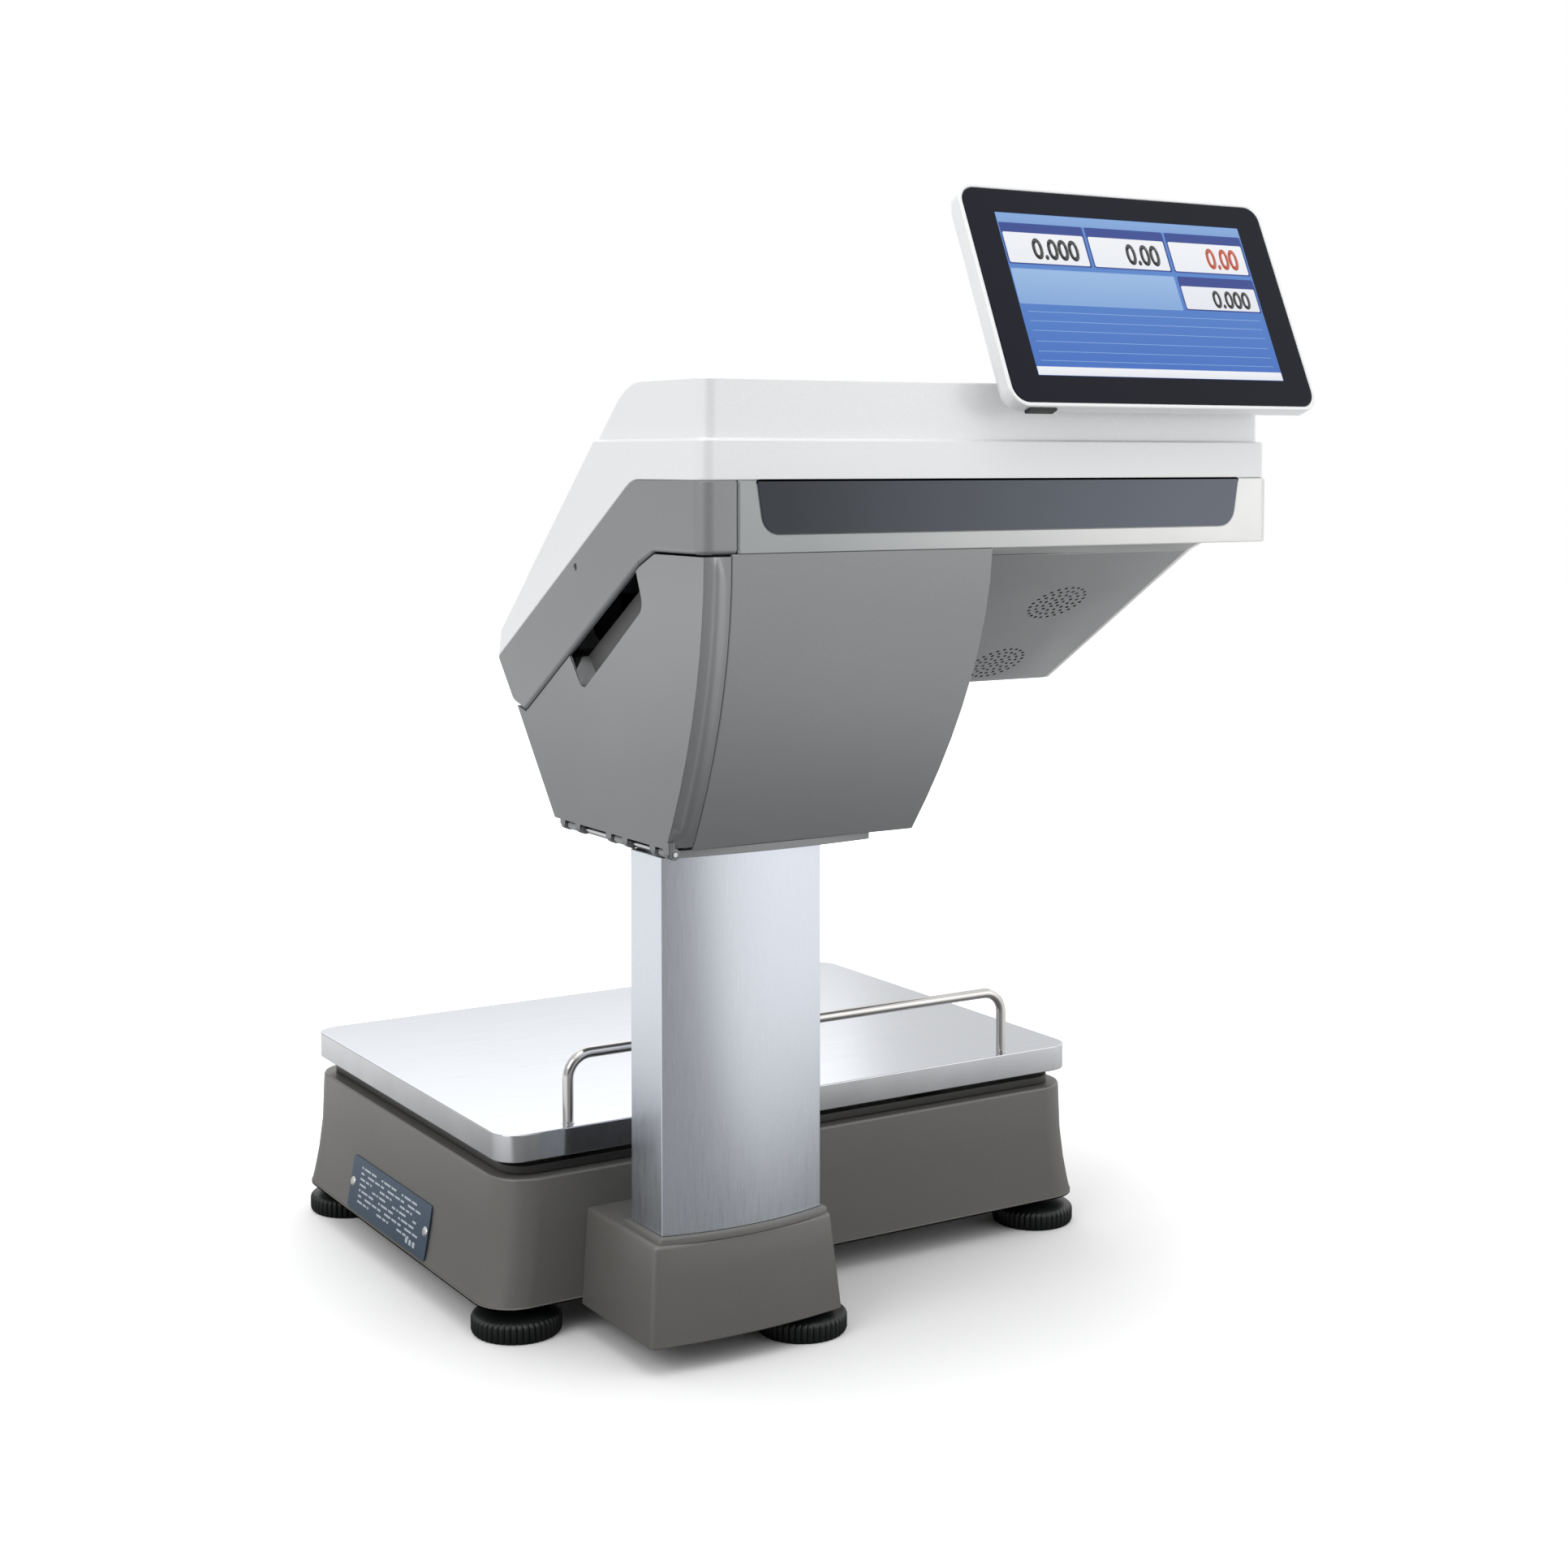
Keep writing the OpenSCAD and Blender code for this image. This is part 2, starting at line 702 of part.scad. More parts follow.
module print_head() {
  color([0.2, 0.2, 0.22]) placed() {
    translate([46, platen_y - 6, platen_z + 7.2]) cube([66, 18, 3]);
    translate([42, platen_y - 4, platen_z + 10.2]) cube([74, 16, 10]);
    // Arms that hang from the lever's shaft
    for (x = [64, 106]) difference() {
      union() {
        translate([x, platen_y + 3, platen_z + 20]) cube([4, 10, 12]);
        rod_x(x, x + 4, lever_y, lever_z, 5);
      }
      rod_x(x - 1, x + 5, lever_y, lever_z, shaft_r + running_gap);
    }
  }
}

module head_lever() {
  color([0.15, 0.35, 0.6]) placed() {
    rod_x(34, 112, lever_y, lever_z, shaft_r);
    rod_x(48, 56, lever_y, lever_z, 6);
    translate([48, lever_y, lever_z - 3]) cube([8, 30, 6]);
    rod_x(48, 60, lever_y + 32, lever_z, 5);
  }
}

// ---------- console ----------

// Plan of the head: rounded corners on the customer side
module head_plan(x0, x1, y1, r) {
  translate([x0, -20]) square([x1 - x0, y1 - r + 20]);
  translate([x0 + r, 0]) square([x1 - x0 - 2 * r, y1]);
  translate([x0 + r, y1 - r]) circle(r);
  translate([x1 - r, y1 - r]) circle(r);
}

module within_plan(x0, x1, y1, r) {
  intersection() {
    children();
    translate([0, 0, 250]) linear_extrude(300) head_plan(x0, x1, y1, r);
  }
}

module lower_outline() {
  polygon(concat(
    [[face_y, band_z], [face_y, seam_z]],
    corner_arc([face_y, seam_z], [190.5, seam_z], nose_tip, 24, 5),
    [nose_tip, nose_low, under_low],
    corner_arc(under_low, under_high, under_end, 14, 3),
    [under_end]
  ));
}

module lower_cavity() {
  polygon([[face_y - wall, 300], [face_y - wall, 480], [80, 480], [22, 367.5], [80, 301]]);
}

module side_band() {
  color([0.45, 0.45, 0.44]) placed() difference() {
    within_plan(head_x0, head_x1, face_y, corner_r) along_x(door_x - 3, head_x1) lower_outline();
    within_plan(head_x0, head_x1 - wall, face_y - wall, corner_r - wall) {
      along_x(door_x - 5, head_x1 - wall) lower_cavity();
    }
    translate([head_x1 - 3, 126, 409]) rotate([0, 90, 0]) cylinder(h = 5, r = 1.8);
  }
}

module band_screws() {
  color([0.1, 0.1, 0.1]) placed() {
    translate([head_x1 - 2.6, 126, 409]) rotate([0, 90, 0]) cylinder(h = 1.6, r = 1.7);
  }
}

module console_frame() {
  color([0.68, 0.68, 0.67]) placed() difference() {
    within_plan(head_x0 - 2, head_x1, face_y, corner_r) along_x(head_x0 - 2, door_x - 3.4) lower_outline();
    within_plan(head_x0 + wall, head_x1, face_y - wall, corner_r - wall) {
      along_x(head_x0 + wall, door_x + 10) lower_cavity();
    }
    along_y(face_y - 1, face_y + 1) strip_outline(0.1);
    // The printer housing reaches up into the console here
    translate([housing_x(band_z) + wall, 60, 300]) cube([door_x - housing_x(band_z), face_y - wall - 60, 130]);
  }
}

module strip_outline(grow) {
  x1 = 107.6 + grow;
  x0 = -206 - grow;
  z0 = 429.5 - grow;
  polygon(concat(
    [[x1, seam_z - 0.6 + grow], [x0, seam_z - 0.6 + grow]],
    corner_arc([x0, seam_z], [x0 + 4, z0], [x1, z0], 10, 6),
    corner_arc([x0, z0], [x1 - 4, z0], [x1, seam_z], 10, 6)
  ));
}

module front_strip() {
  color([0.2, 0.22, 0.26]) placed() along_y(face_y - 1, face_y + 0.4) strip_outline(0);
}

// A frame whose Y axis runs down the underside from its upper corner
module on_underside() {
  under_angle = atan2(under_high[1] - under_low[1], under_high[0] - under_low[0]);
  translate([0, under_high[0], under_high[1]]) rotate([under_angle, 0, 0]) mirror([0, 1, 0]) children();
}

module console_underside() {
  color([0.42, 0.42, 0.41]) placed() difference() {
    within_plan(head_x0 + wall, head_x1, face_y - wall, corner_r - wall) {
      along_x(head_x0, housing_x(band_z) + wall) polygon(concat(
        [[56.4, 328.4], under_low],
        corner_arc(under_low, under_high, under_end, 14, 3),
        [under_end, [face_y, band_z], [face_y, band_z + wall], under_end + [-0.6, wall]],
        [under_high + [-1.4, 2.1], under_low + [-1.4, 2.1], under_low + [-7.6, 3.4]]
      ));
    }
    on_underside() for (g = grilles) translate([g[0], g[1], -4]) {
      for (ring = [0:4], k = [0:max(0, 6 * ring - 1)]) rotate(k * 60 / max(ring, 1) + ring * 11) {
        translate([ring * 4.4, 0, 0]) cylinder(h = 10, r = 1.15, $fn = 16);
      }
    }
  }
}

module speakers() {
  color([0.12, 0.12, 0.12]) placed() on_underside() for (g = grilles) translate([g[0], g[1], 2.6]) {
    difference() {
      cylinder(h = 4, r = grille_r + 3);
      translate([0, 0, -1]) cylinder(h = 4, r = grille_r);
    }
    translate([0, 0, 4]) cylinder(h = 10, r1 = grille_r, r2 = 12);
    translate([0, 0, 14]) cylinder(h = 6, r = 14);
  }
}

// A frame on the operator's slope: Y up the slope, Z out of it
module on_slope() {
  translate([0, slope_foot[0], slope_foot[1]]) rotate([slope_angle, 0, 0]) children();
}

module cover_outline(y1, z1, inset) {
  crest = slope_foot + [cos(slope_angle), sin(slope_angle)] * ((z1 - slope_foot[1]) / sin(slope_angle));
  shift = inset / sin(slope_angle) * (1 - cos(slope_angle));
  polygon(concat(
    [[y1 - inset, seam_z - 2 * inset], [y1 - inset, z1 - inset]],
    corner_arc([y1, z1 - inset], [crest[0] + shift, z1 - inset], slope_foot + [shift, -inset], 42, 8),
    [slope_foot + [inset * 1.1, -inset * 0.5], nose_tip + [inset * 1.4, inset * 0.4]],
    inset > 0 ? [[60, 350]] : [],
    corner_arc(nose_tip, [190.5, seam_z - 2 * inset], [y1, seam_z - 2 * inset], 24, 5)
  ));
}

module head_cover() {
  color([0.9, 0.9, 0.89]) placed() difference() {
    union() {
      within_plan(head_x0 + 3, head_x1 - 2.5, face_y - 2.5, corner_r) {
        along_x(head_x0, head_x1) cover_outline(face_y, top_z, 0);
      }
      intersection() {
        within_plan(head_x0, head_x1, face_y, corner_r) {
          along_x(head_x0, head_x1) cover_outline(face_y, top_z, 0);
        }
        translate([-300, 0, 300]) cube([600, 300, ledge_z - 300]);
      }
    }
    within_plan(head_x0 + 3 + wall, head_x1 - 2.5 - wall, face_y - 2.5 - wall, corner_r - wall) {
      along_x(head_x0, head_x1) cover_outline(face_y, top_z, wall);
    }
    on_slope() translate([mid_x, 96, -10]) slab(touch_w + 0.6, touch_h + 0.6, 20, 6);
  }
}

module touch_glass() {
  color([0.03, 0.03, 0.04]) placed() on_slope() translate([mid_x, 96, -2.4]) slab(touch_w, touch_h, 2.6, 6);
}

module touch_panel() {
  color([0.3, 0.32, 0.34]) placed() on_slope() translate([mid_x, 96, -12.4]) slab(touch_w - 40, touch_h - 4, 10, 3);
}

module main_board() {
  color([0.08, 0.3, 0.18]) placed() on_slope() {
    translate([-210, 24, -28]) cube([150, 130, 1.6]);
    translate([-180, 60, -26.4]) cube([26, 26, 3]);
    translate([-120, 50, -26.4]) cube([40, 14, 6]);
    for (x = [-205, -65], y = [30, 148]) translate([x, y, -26.4]) cylinder(h = 14, r = 2.5);
  }
}

// ---------- customer display ----------

module on_display() {
  translate(display_pos) rotate([display_tilt, 0, 0]) children();
}

// A slab standing in the display's plane, from depth y0 to y1 behind its face
module display_slab(w, h, r, y0, y1) {
  translate([0, y1, 0]) rotate([90, 0, 0]) slab(w, h, y1 - y0, r);
}

module display_shell() {
  color([0.92, 0.92, 0.91]) placed() on_display() {
    difference() {
      union() {
        display_slab(display_w, display_h, 11, -8, 0);
        display_slab(display_w - 6, display_h - 6, 9, -display_t + 3, -7);
        display_slab(display_w - 16, display_h - 16, 7, -display_t, -display_t + 4);
      }
      display_slab(display_w - 5, display_h - 5, 9, -1.6, 1);
      display_slab(display_w - 12, display_h - 12, 6, -display_t + 5, 0);
    }
    // Hinge ears on the back
    for (x = [-34, 22]) difference() {
      translate([x, 0, 0]) {
        rod_x(0, 12, display_axis[0], display_axis[1], ear_r);
        translate([0, display_axis[0], display_axis[1] - 6]) cube([12, -display_t - display_axis[0] + 1, 12]);
      }
      rod_x(x - 1, x + 14, display_axis[0], display_axis[1], display_pin_r + running_gap);
    }
  }
}

module display_glass() {
  color([0.02, 0.02, 0.03]) placed() on_display() {
    display_slab(display_w - 5.4, display_h - 5.4, 8.8, -1.6, 0.2);
  }
}

module display_panel() {
  color([0.2, 0.35, 0.6]) placed() on_display() display_slab(184, 108, 2, -8, -1.7);
}

module display_port_cover() {
  color([0.08, 0.08, 0.08]) placed() on_display() {
    translate([78, -6.5, -display_h / 2 - 1.5]) cube([18, 5, 1.5]);
  }
}

module display_bracket() {
  y = display_pos[1] + display_axis[0] * cos(display_tilt) - display_axis[1] * sin(display_tilt);
  z = display_pos[2] + display_axis[0] * sin(display_tilt) + display_axis[1] * cos(display_tilt);
  color([0.3, 0.3, 0.3]) placed() translate([display_pos[0], 0, 0]) difference() {
    union() {
      translate([-45, 205, top_z]) cube([90, 44, 3]);
      hull() {
        translate([-21.5, 214, top_z + 2]) cube([43, 26, 1]);
        rod_x(-21.5, 21.5, y, z, ear_r - 0.6);
      }
    }
    rod_x(-30, 30, y, z, display_pin_r + running_gap);
  }
}

module display_pin() {
  color([0.7, 0.7, 0.7]) placed() on_display() {
    rod_x(-35, 35, display_axis[0], display_axis[1], display_pin_r);
  }
}

base_housing();
base_deck();
base_plate();
load_cell();
load_cell_blocks();
load_cell_bolts();
platter_carrier();
platter_pads();
bubble_level();
rating_plate();
rating_rivets();
weighing_board();
power_supply();
power_inlet();
power_switch();
platter();
guard_rail();
rail_nuts();
foot_wheel(0);  // foot_wheel_1
foot_wheel(1);  // foot_wheel_2
foot_wheel(2);  // foot_wheel_3
foot_wheel(3);  // foot_wheel_4
foot_wheel(4);  // foot_wheel_5
foot_stud(0);  // foot_stud_1
foot_stud(1);  // foot_stud_2
foot_stud(2);  // foot_stud_3
foot_stud(3);  // foot_stud_4
foot_stud(4);  // foot_stud_5
column_foot();
column();
column_bolts();
column_harness();
housing_floor();
printer_chassis();
printer_housing();
printer_door();
door_hinge_pin();
roll_spindle();
label_roll();
takeup_spool();
platen_roller();
print_head();
head_lever();
side_band();
band_screws();
console_frame();
front_strip();
console_underside();
speakers();
main_board();
head_cover();
touch_glass();
touch_panel();
display_bracket();
display_pin();
display_shell();
display_glass();
display_panel();
display_port_cover();
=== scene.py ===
"""Looks of a retail price scale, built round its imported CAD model.

A weighing base with a steel platter, a column, a printer head, an operator's
touchscreen and a customer display. Lengths are in metres, or in millimetres
where a value is multiplied by MM. The customer stands at +Y.
"""

import json
import math

import bmesh
import bpy
from mathutils import Matrix, Vector


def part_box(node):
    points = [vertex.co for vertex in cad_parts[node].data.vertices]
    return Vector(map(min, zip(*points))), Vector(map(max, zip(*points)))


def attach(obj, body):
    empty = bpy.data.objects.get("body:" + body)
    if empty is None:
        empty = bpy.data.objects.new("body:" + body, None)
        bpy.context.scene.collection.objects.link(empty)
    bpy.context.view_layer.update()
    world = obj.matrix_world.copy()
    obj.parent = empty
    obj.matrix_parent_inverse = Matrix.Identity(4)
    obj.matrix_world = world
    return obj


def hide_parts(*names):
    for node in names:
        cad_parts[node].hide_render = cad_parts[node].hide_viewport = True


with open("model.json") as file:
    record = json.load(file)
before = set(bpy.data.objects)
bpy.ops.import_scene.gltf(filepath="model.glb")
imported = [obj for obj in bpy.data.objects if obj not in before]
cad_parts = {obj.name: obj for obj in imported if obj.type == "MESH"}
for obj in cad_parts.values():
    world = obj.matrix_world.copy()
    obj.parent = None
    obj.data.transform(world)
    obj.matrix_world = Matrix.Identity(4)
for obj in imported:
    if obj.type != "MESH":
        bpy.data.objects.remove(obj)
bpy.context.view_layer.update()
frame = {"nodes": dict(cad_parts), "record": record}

MM = 0.001
NODES = frame["nodes"]
SLOT_OF = {row["node"]: row["material_slot"] for row in frame["record"]["subparts"]}


# ---------- camera, floor and light ----------

CAMERA_PLACE = (0.7188, 1.1677, 0.4655)
CAMERA_TURN = 31.72
CAMERA_PITCH = 3.32
CAMERA_LENS = 53.44
CAMERA_SHIFT = -0.12
DOME_TOP = (-0.45, 0.30, 0.85)
DOME_STRENGTH = 1.0
DARK_SIDE = (0.38, 0.92, 0.06)
DARK_SHARE = 0.82


def make_camera():
    """The camera stands in front of the customer face, towards the printer side."""
    data = bpy.data.cameras.new("camera")
    data.lens = CAMERA_LENS
    data.sensor_width = 36
    data.shift_y = CAMERA_SHIFT
    camera = bpy.data.objects.new("camera", data)
    bpy.context.scene.collection.objects.link(camera)
    camera.location = CAMERA_PLACE
    turn = math.radians(180 - CAMERA_TURN)
    camera.rotation_euler = (math.radians(90 - CAMERA_PITCH), 0, turn)
    bpy.context.scene.camera = camera


def make_floor():
    """A plain pale floor, which isn't part of the object."""
    mesh = bpy.data.meshes.new("floor")
    form = bmesh.new()
    bmesh.ops.create_circle(form, cap_ends=True, segments=64, radius=8)
    form.to_mesh(mesh)
    form.free()
    floor = bpy.data.objects.new("floor", mesh)
    bpy.context.scene.collection.objects.link(floor)
    pale = Surface("floor_pale", (250, 250, 250), 0.85)
    pale.tint((248, 248, 248), (252, 252, 252), pale.noise(3))
    pale.glow_outwards(0.16, 0.75, 0.9)
    pale.dim_bounce(0.20, 0.22, 0.80, 0.85)
    mesh.materials.append(pale.material)


def make_light(name, place, target, size, power):
    """A soft rectangular lamp that points at target."""
    data = bpy.data.lights.new(name, "AREA")
    data.shape = "RECTANGLE"
    data.size, data.size_y = size
    data.energy = power
    lamp = bpy.data.objects.new(name, data)
    bpy.context.scene.collection.objects.link(lamp)
    lamp.location = place
    aim = Vector(target) - Vector(place)
    lamp.rotation_euler = aim.to_track_quat("-Z", "Y").to_euler()


def darker_side(tree, heading, strength):
    """A strength that drops where heading points to the unlit side of the studio."""
    across = tree.nodes.new("ShaderNodeVectorMath")
    across.operation = "DOT_PRODUCT"
    across.inputs[1].default_value = Vector(DARK_SIDE).normalized()
    shade = tree.nodes.new("ShaderNodeMapRange")
    shade.interpolation_type = "SMOOTHSTEP"
    shade.inputs["From Min"].default_value = 0.80
    shade.inputs["From Max"].default_value = 0.95
    shade.inputs["To Min"].default_value = strength
    shade.inputs["To Max"].default_value = strength * (1 - DARK_SHARE)
    tree.links.new(heading, across.inputs[0])
    tree.links.new(across.outputs["Value"], shade.inputs["Value"])
    return shade.outputs["Result"]


def make_world():
    """A studio dome, bright overhead and on the customer's left, plain white to the camera."""
    world = bpy.data.worlds.new("studio")
    bpy.context.scene.world = world
    world.use_nodes = True
    tree = world.node_tree
    tree.nodes.clear()
    place = tree.nodes.new("ShaderNodeTexCoord")
    lean = tree.nodes.new("ShaderNodeVectorMath")
    lean.operation = "DOT_PRODUCT"
    lean.inputs[1].default_value = Vector(DOME_TOP).normalized()
    ramp = tree.nodes.new("ShaderNodeValToRGB")
    dome = tree.nodes.new("ShaderNodeBackground")
    seen = tree.nodes.new("ShaderNodeBackground")
    path = tree.nodes.new("ShaderNodeLightPath")
    mix = tree.nodes.new("ShaderNodeMixShader")
    out = tree.nodes.new("ShaderNodeOutputWorld")
    stops = ramp.color_ramp.elements
    stops[0].position, stops[0].color = 0.0, grey(0.30)
    stops[1].position, stops[1].color = 1.0, grey(1.0)
    for position, level in ((0.27, 0.58), (0.72, 0.90)):
        stops.new(position).color = grey(level)
    spread = tree.nodes.new("ShaderNodeMapRange")
    spread.inputs["From Min"].default_value = -1
    tree.links.new(place.outputs["Generated"], lean.inputs[0])
    tree.links.new(lean.outputs["Value"], spread.inputs["Value"])
    tree.links.new(spread.outputs["Result"], ramp.inputs["Fac"])
    tree.links.new(ramp.outputs["Color"], dome.inputs["Color"])
    tree.links.new(darker_side(tree, place.outputs["Generated"], DOME_STRENGTH), dome.inputs["Strength"])
    seen.inputs["Color"].default_value = grey(1.0)
    tree.links.new(path.outputs["Is Camera Ray"], mix.inputs[0])
    tree.links.new(dome.outputs[0], mix.inputs[1])
    tree.links.new(seen.outputs[0], mix.inputs[2])
    tree.links.new(mix.outputs[0], out.inputs[0])


def light_studio():
    make_world()
    middle = (0, 0, 0.3)
    make_light("overhead", (0.1, 0.3, 1.5), middle, (1.3, 1.3), 5)
    make_light("printer_side", (1.7, 0.6, 1.3), middle, (1.2, 1.0), 9)
    make_light("customer_side", (-1.7, 1.7, 0.9), middle, (1.5, 1.5), 5)
    make_light("operator_side", (-0.6, -2.2, 1.4), middle, (1.8, 1.4), 7)
    make_light("far_side", (-2.2, -0.4, 1.1), middle, (1.2, 1.2), 3)
    bpy.context.scene.view_settings.view_transform = "Standard"


# ---------- materials ----------


def grey(value):
    """A linear grey."""
    return (value, value, value, 1)


def paint(red, green, blue):
    """A colour on the usual 0 to 255 scale as the linear colour that a shader takes."""
    def linear(level):
        share = level / 255
        return share / 12.92 if share <= 0.04045 else ((share + 0.055) / 1.055) ** 2.4
    return (linear(red), linear(green), linear(blue), 1)


class Surface:
    """A procedural material: one Principled shader and the nodes that feed it."""

    def __init__(self, name, colour, roughness, **sockets):
        self.material = bpy.data.materials.new(name)
        self.material.use_nodes = True
        self.tree = self.material.node_tree
        self.shader = self.tree.nodes["Principled BSDF"]
        self.shader.inputs["Base Color"].default_value = paint(*colour)
        self.shader.inputs["Roughness"].default_value = roughness
        for key, value in sockets.items():
            self.shader.inputs[key.replace("_", " ")].default_value = value
        self.place = self.add("ShaderNodeTexCoord").outputs["Object"]

    def add(self, kind, **settings):
        made = self.tree.nodes.new(kind)
        for key, value in settings.items():
            setattr(made, key, value)
        return made

    def link(self, source, target):
        self.tree.links.new(source, target)

    def stretched(self, scale, offset=(0, 0, 0)):
        """The object's coordinates, moved and then scaled by a different amount along each axis."""
        mapping = self.add("ShaderNodeMapping", vector_type="POINT")
        mapping.inputs["Location"].default_value = offset
        mapping.inputs["Scale"].default_value = scale
        self.link(self.place, mapping.inputs["Vector"])
        return mapping.outputs["Vector"]

    def noise(self, scale, detail=2.0, place=None):
        made = self.add("ShaderNodeTexNoise")
        made.inputs["Scale"].default_value = scale
        made.inputs["Detail"].default_value = detail
        self.link(place or self.place, made.inputs["Vector"])
        return made.outputs["Fac"]

    def cells(self, scale):
        made = self.add("ShaderNodeTexVoronoi")
        made.inputs["Scale"].default_value = scale
        self.link(self.place, made.inputs["Vector"])
        return made.outputs["Distance"]

    def ramp(self, factor, stops):
        """A colour ramp with the given (position, colour) stops."""
        made = self.add("ShaderNodeValToRGB")
        elements = made.color_ramp.elements
        while len(elements) < len(stops):
            elements.new(0.5)
        for element, (position, colour) in zip(elements, stops):
            element.position = position
            element.color = colour
        self.link(factor, made.inputs["Fac"])
        return made.outputs["Color"]

    def tint(self, low, high, factor, start=0.3, end=0.7):
        """The base colour wanders between low and high."""
        colour = self.ramp(factor, [(start, paint(*low)), (end, paint(*high))])
        self.link(colour, self.shader.inputs["Base Color"])

    def drift(self, axis, start, end, low, high, grain=0.0):
        """The base colour drifts from low to high along an axis, with a fine grain: painted light and shade
        laid across a part.
        """
        split = self.add("ShaderNodeSeparateXYZ")
        self.link(self.place, split.inputs[0])
        span = self.add("ShaderNodeMapRange", interpolation_type="SMOOTHSTEP")
        span.inputs["From Min"].default_value = start
        span.inputs["From Max"].default_value = end
        self.link(split.outputs[axis], span.inputs["Value"])
        speck = self.add("ShaderNodeMath", operation="MULTIPLY_ADD")
        self.link(self.noise(2600, 1), speck.inputs[0])
        speck.inputs[1].default_value = grain
        self.link(span.outputs["Result"], speck.inputs[2])
        colour = self.ramp(speck.outputs[0], [(0.0, paint(*low)), (1.0, paint(*high))])
        self.link(colour, self.shader.inputs["Base Color"])

    def gloss(self, low, high, factor, start=0.3, end=0.7):
        """The roughness wanders between low and high."""
        made = self.add("ShaderNodeMapRange")
        made.inputs["From Min"].default_value = start
        made.inputs["From Max"].default_value = end
        made.inputs["To Min"].default_value = low
        made.inputs["To Max"].default_value = high
        self.link(factor, made.inputs["Value"])
        self.link(made.outputs["Result"], self.shader.inputs["Roughness"])

    def relief(self, factor, depth):
        """A bump whose height is depth metres."""
        made = self.add("ShaderNodeBump")
        made.inputs["Distance"].default_value = depth
        made.inputs["Strength"].default_value = 1.0
        self.link(factor, made.inputs["Height"])
        self.link(made.outputs["Normal"], self.shader.inputs["Normal"])

    def reach(self, start, end, most):
        """A value that grows from 0 to most between two distances from the origin."""
        away = self.add("ShaderNodeVectorMath", operation="LENGTH")
        self.link(self.place, away.inputs[0])
        made = self.add("ShaderNodeMapRange", interpolation_type="SMOOTHSTEP")
        made.inputs["From Min"].default_value = start
        made.inputs["From Max"].default_value = end
        made.inputs["To Max"].default_value = most
        self.link(away.outputs["Value"], made.inputs["Value"])
        return made.outputs["Result"]

    def glow_outwards(self, start, end, strength):
        """The surface glows with distance from the origin, as a lit studio sweep does."""
        self.link(self.reach(start, end, strength), self.shader.inputs["Emission Strength"])
        self.shader.inputs["Emission Color"].default_value = (1, 1, 1, 1)

    def dim_bounce(self, level, start, end, strength):
        """Light that bounces off the surface is dim near the origin and bright further out."""
        out = self.tree.nodes["Material Output"]
        path = self.add("ShaderNodeLightPath")
        plain = self.add("ShaderNodeBsdfDiffuse")
        plain.inputs["Color"].default_value = grey(level)
        far = self.add("ShaderNodeEmission")
        heading = self.add("ShaderNodeVectorMath", operation="NORMALIZE")
        self.link(self.place, heading.inputs[0])
        product = self.add("ShaderNodeMath", operation="MULTIPLY")
        self.link(self.reach(start, end, strength), product.inputs[0])
        self.link(darker_side(self.tree, heading.outputs["Vector"], 1.0), product.inputs[1])
        self.link(product.outputs[0], far.inputs["Strength"])
        both = self.add("ShaderNodeAddShader")
        self.link(plain.outputs[0], both.inputs[0])
        self.link(far.outputs[0], both.inputs[1])
        mix = self.add("ShaderNodeMixShader")
        self.link(path.outputs["Is Camera Ray"], mix.inputs[0])
        self.link(both.outputs[0], mix.inputs[1])
        self.link(self.shader.outputs[0], mix.inputs[2])
        self.link(mix.outputs[0], out.inputs["Surface"])


def shifted(colour, step):
    """The same colour a little lighter or darker."""
    return tuple(min(255, max(0, level + step)) for level in colour)


def satin_paint(name, colour, roughness, metallic=0.0, grain=1400, uneven=0.04):
    """Satin paint on metal or plastic: fine orange peel, metal flake and slow colour drift."""
    made = Surface(name, colour, roughness, Metallic=metallic)
    flake = made.noise(grain * 2.5, 1)
    made.tint(shifted(colour, -5), shifted(colour, 5), flake)
    made.gloss(roughness - uneven, roughness + uneven, made.noise(14, 3))
    made.relief(made.noise(grain, 2), 0.00002)
    return made.material


def door_paint_with_painted_shade(name, low, high, roughness, metallic):
    """Satin paint with painted shade: a little darker towards the foot of the printer door."""
    made = Surface(name, high, roughness, Metallic=metallic)
    foot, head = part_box("printer_door")
    # Painted shade: the colour darkens from the door's head down to its foot.
    made.drift("Z", foot.z, head.z, low, high, grain=0.15)
    made.gloss(roughness - 0.04, roughness + 0.04, made.noise(14, 3))
    made.relief(made.noise(1400, 2), 0.00002)
    return made.material


def moulded(name, colour, roughness, grain=1800, depth=0.00003):
    """Moulded plastic with a fine spark-eroded grain."""
    made = Surface(name, colour, roughness)
    made.tint(shifted(colour, -3), shifted(colour, 3), made.noise(9, 3))
    made.gloss(roughness - 0.04, roughness + 0.07, made.noise(40, 3))
    made.relief(made.cells(grain), depth)
    return made.material


def brushed(name, colour, roughness, scale, metallic=1.0, depth=0.000008, spread=5):
    """Brushed metal: streaks that run where scale is small."""
    made = Surface(name, colour, roughness, Metallic=metallic)
    streaks = made.noise(1, 3, made.stretched(scale))
    made.tint(shifted(colour, -spread), shifted(colour, spread), streaks)
    made.gloss(roughness - 0.05, roughness + 0.06, streaks)
    made.relief(streaks, depth)
    return made.material


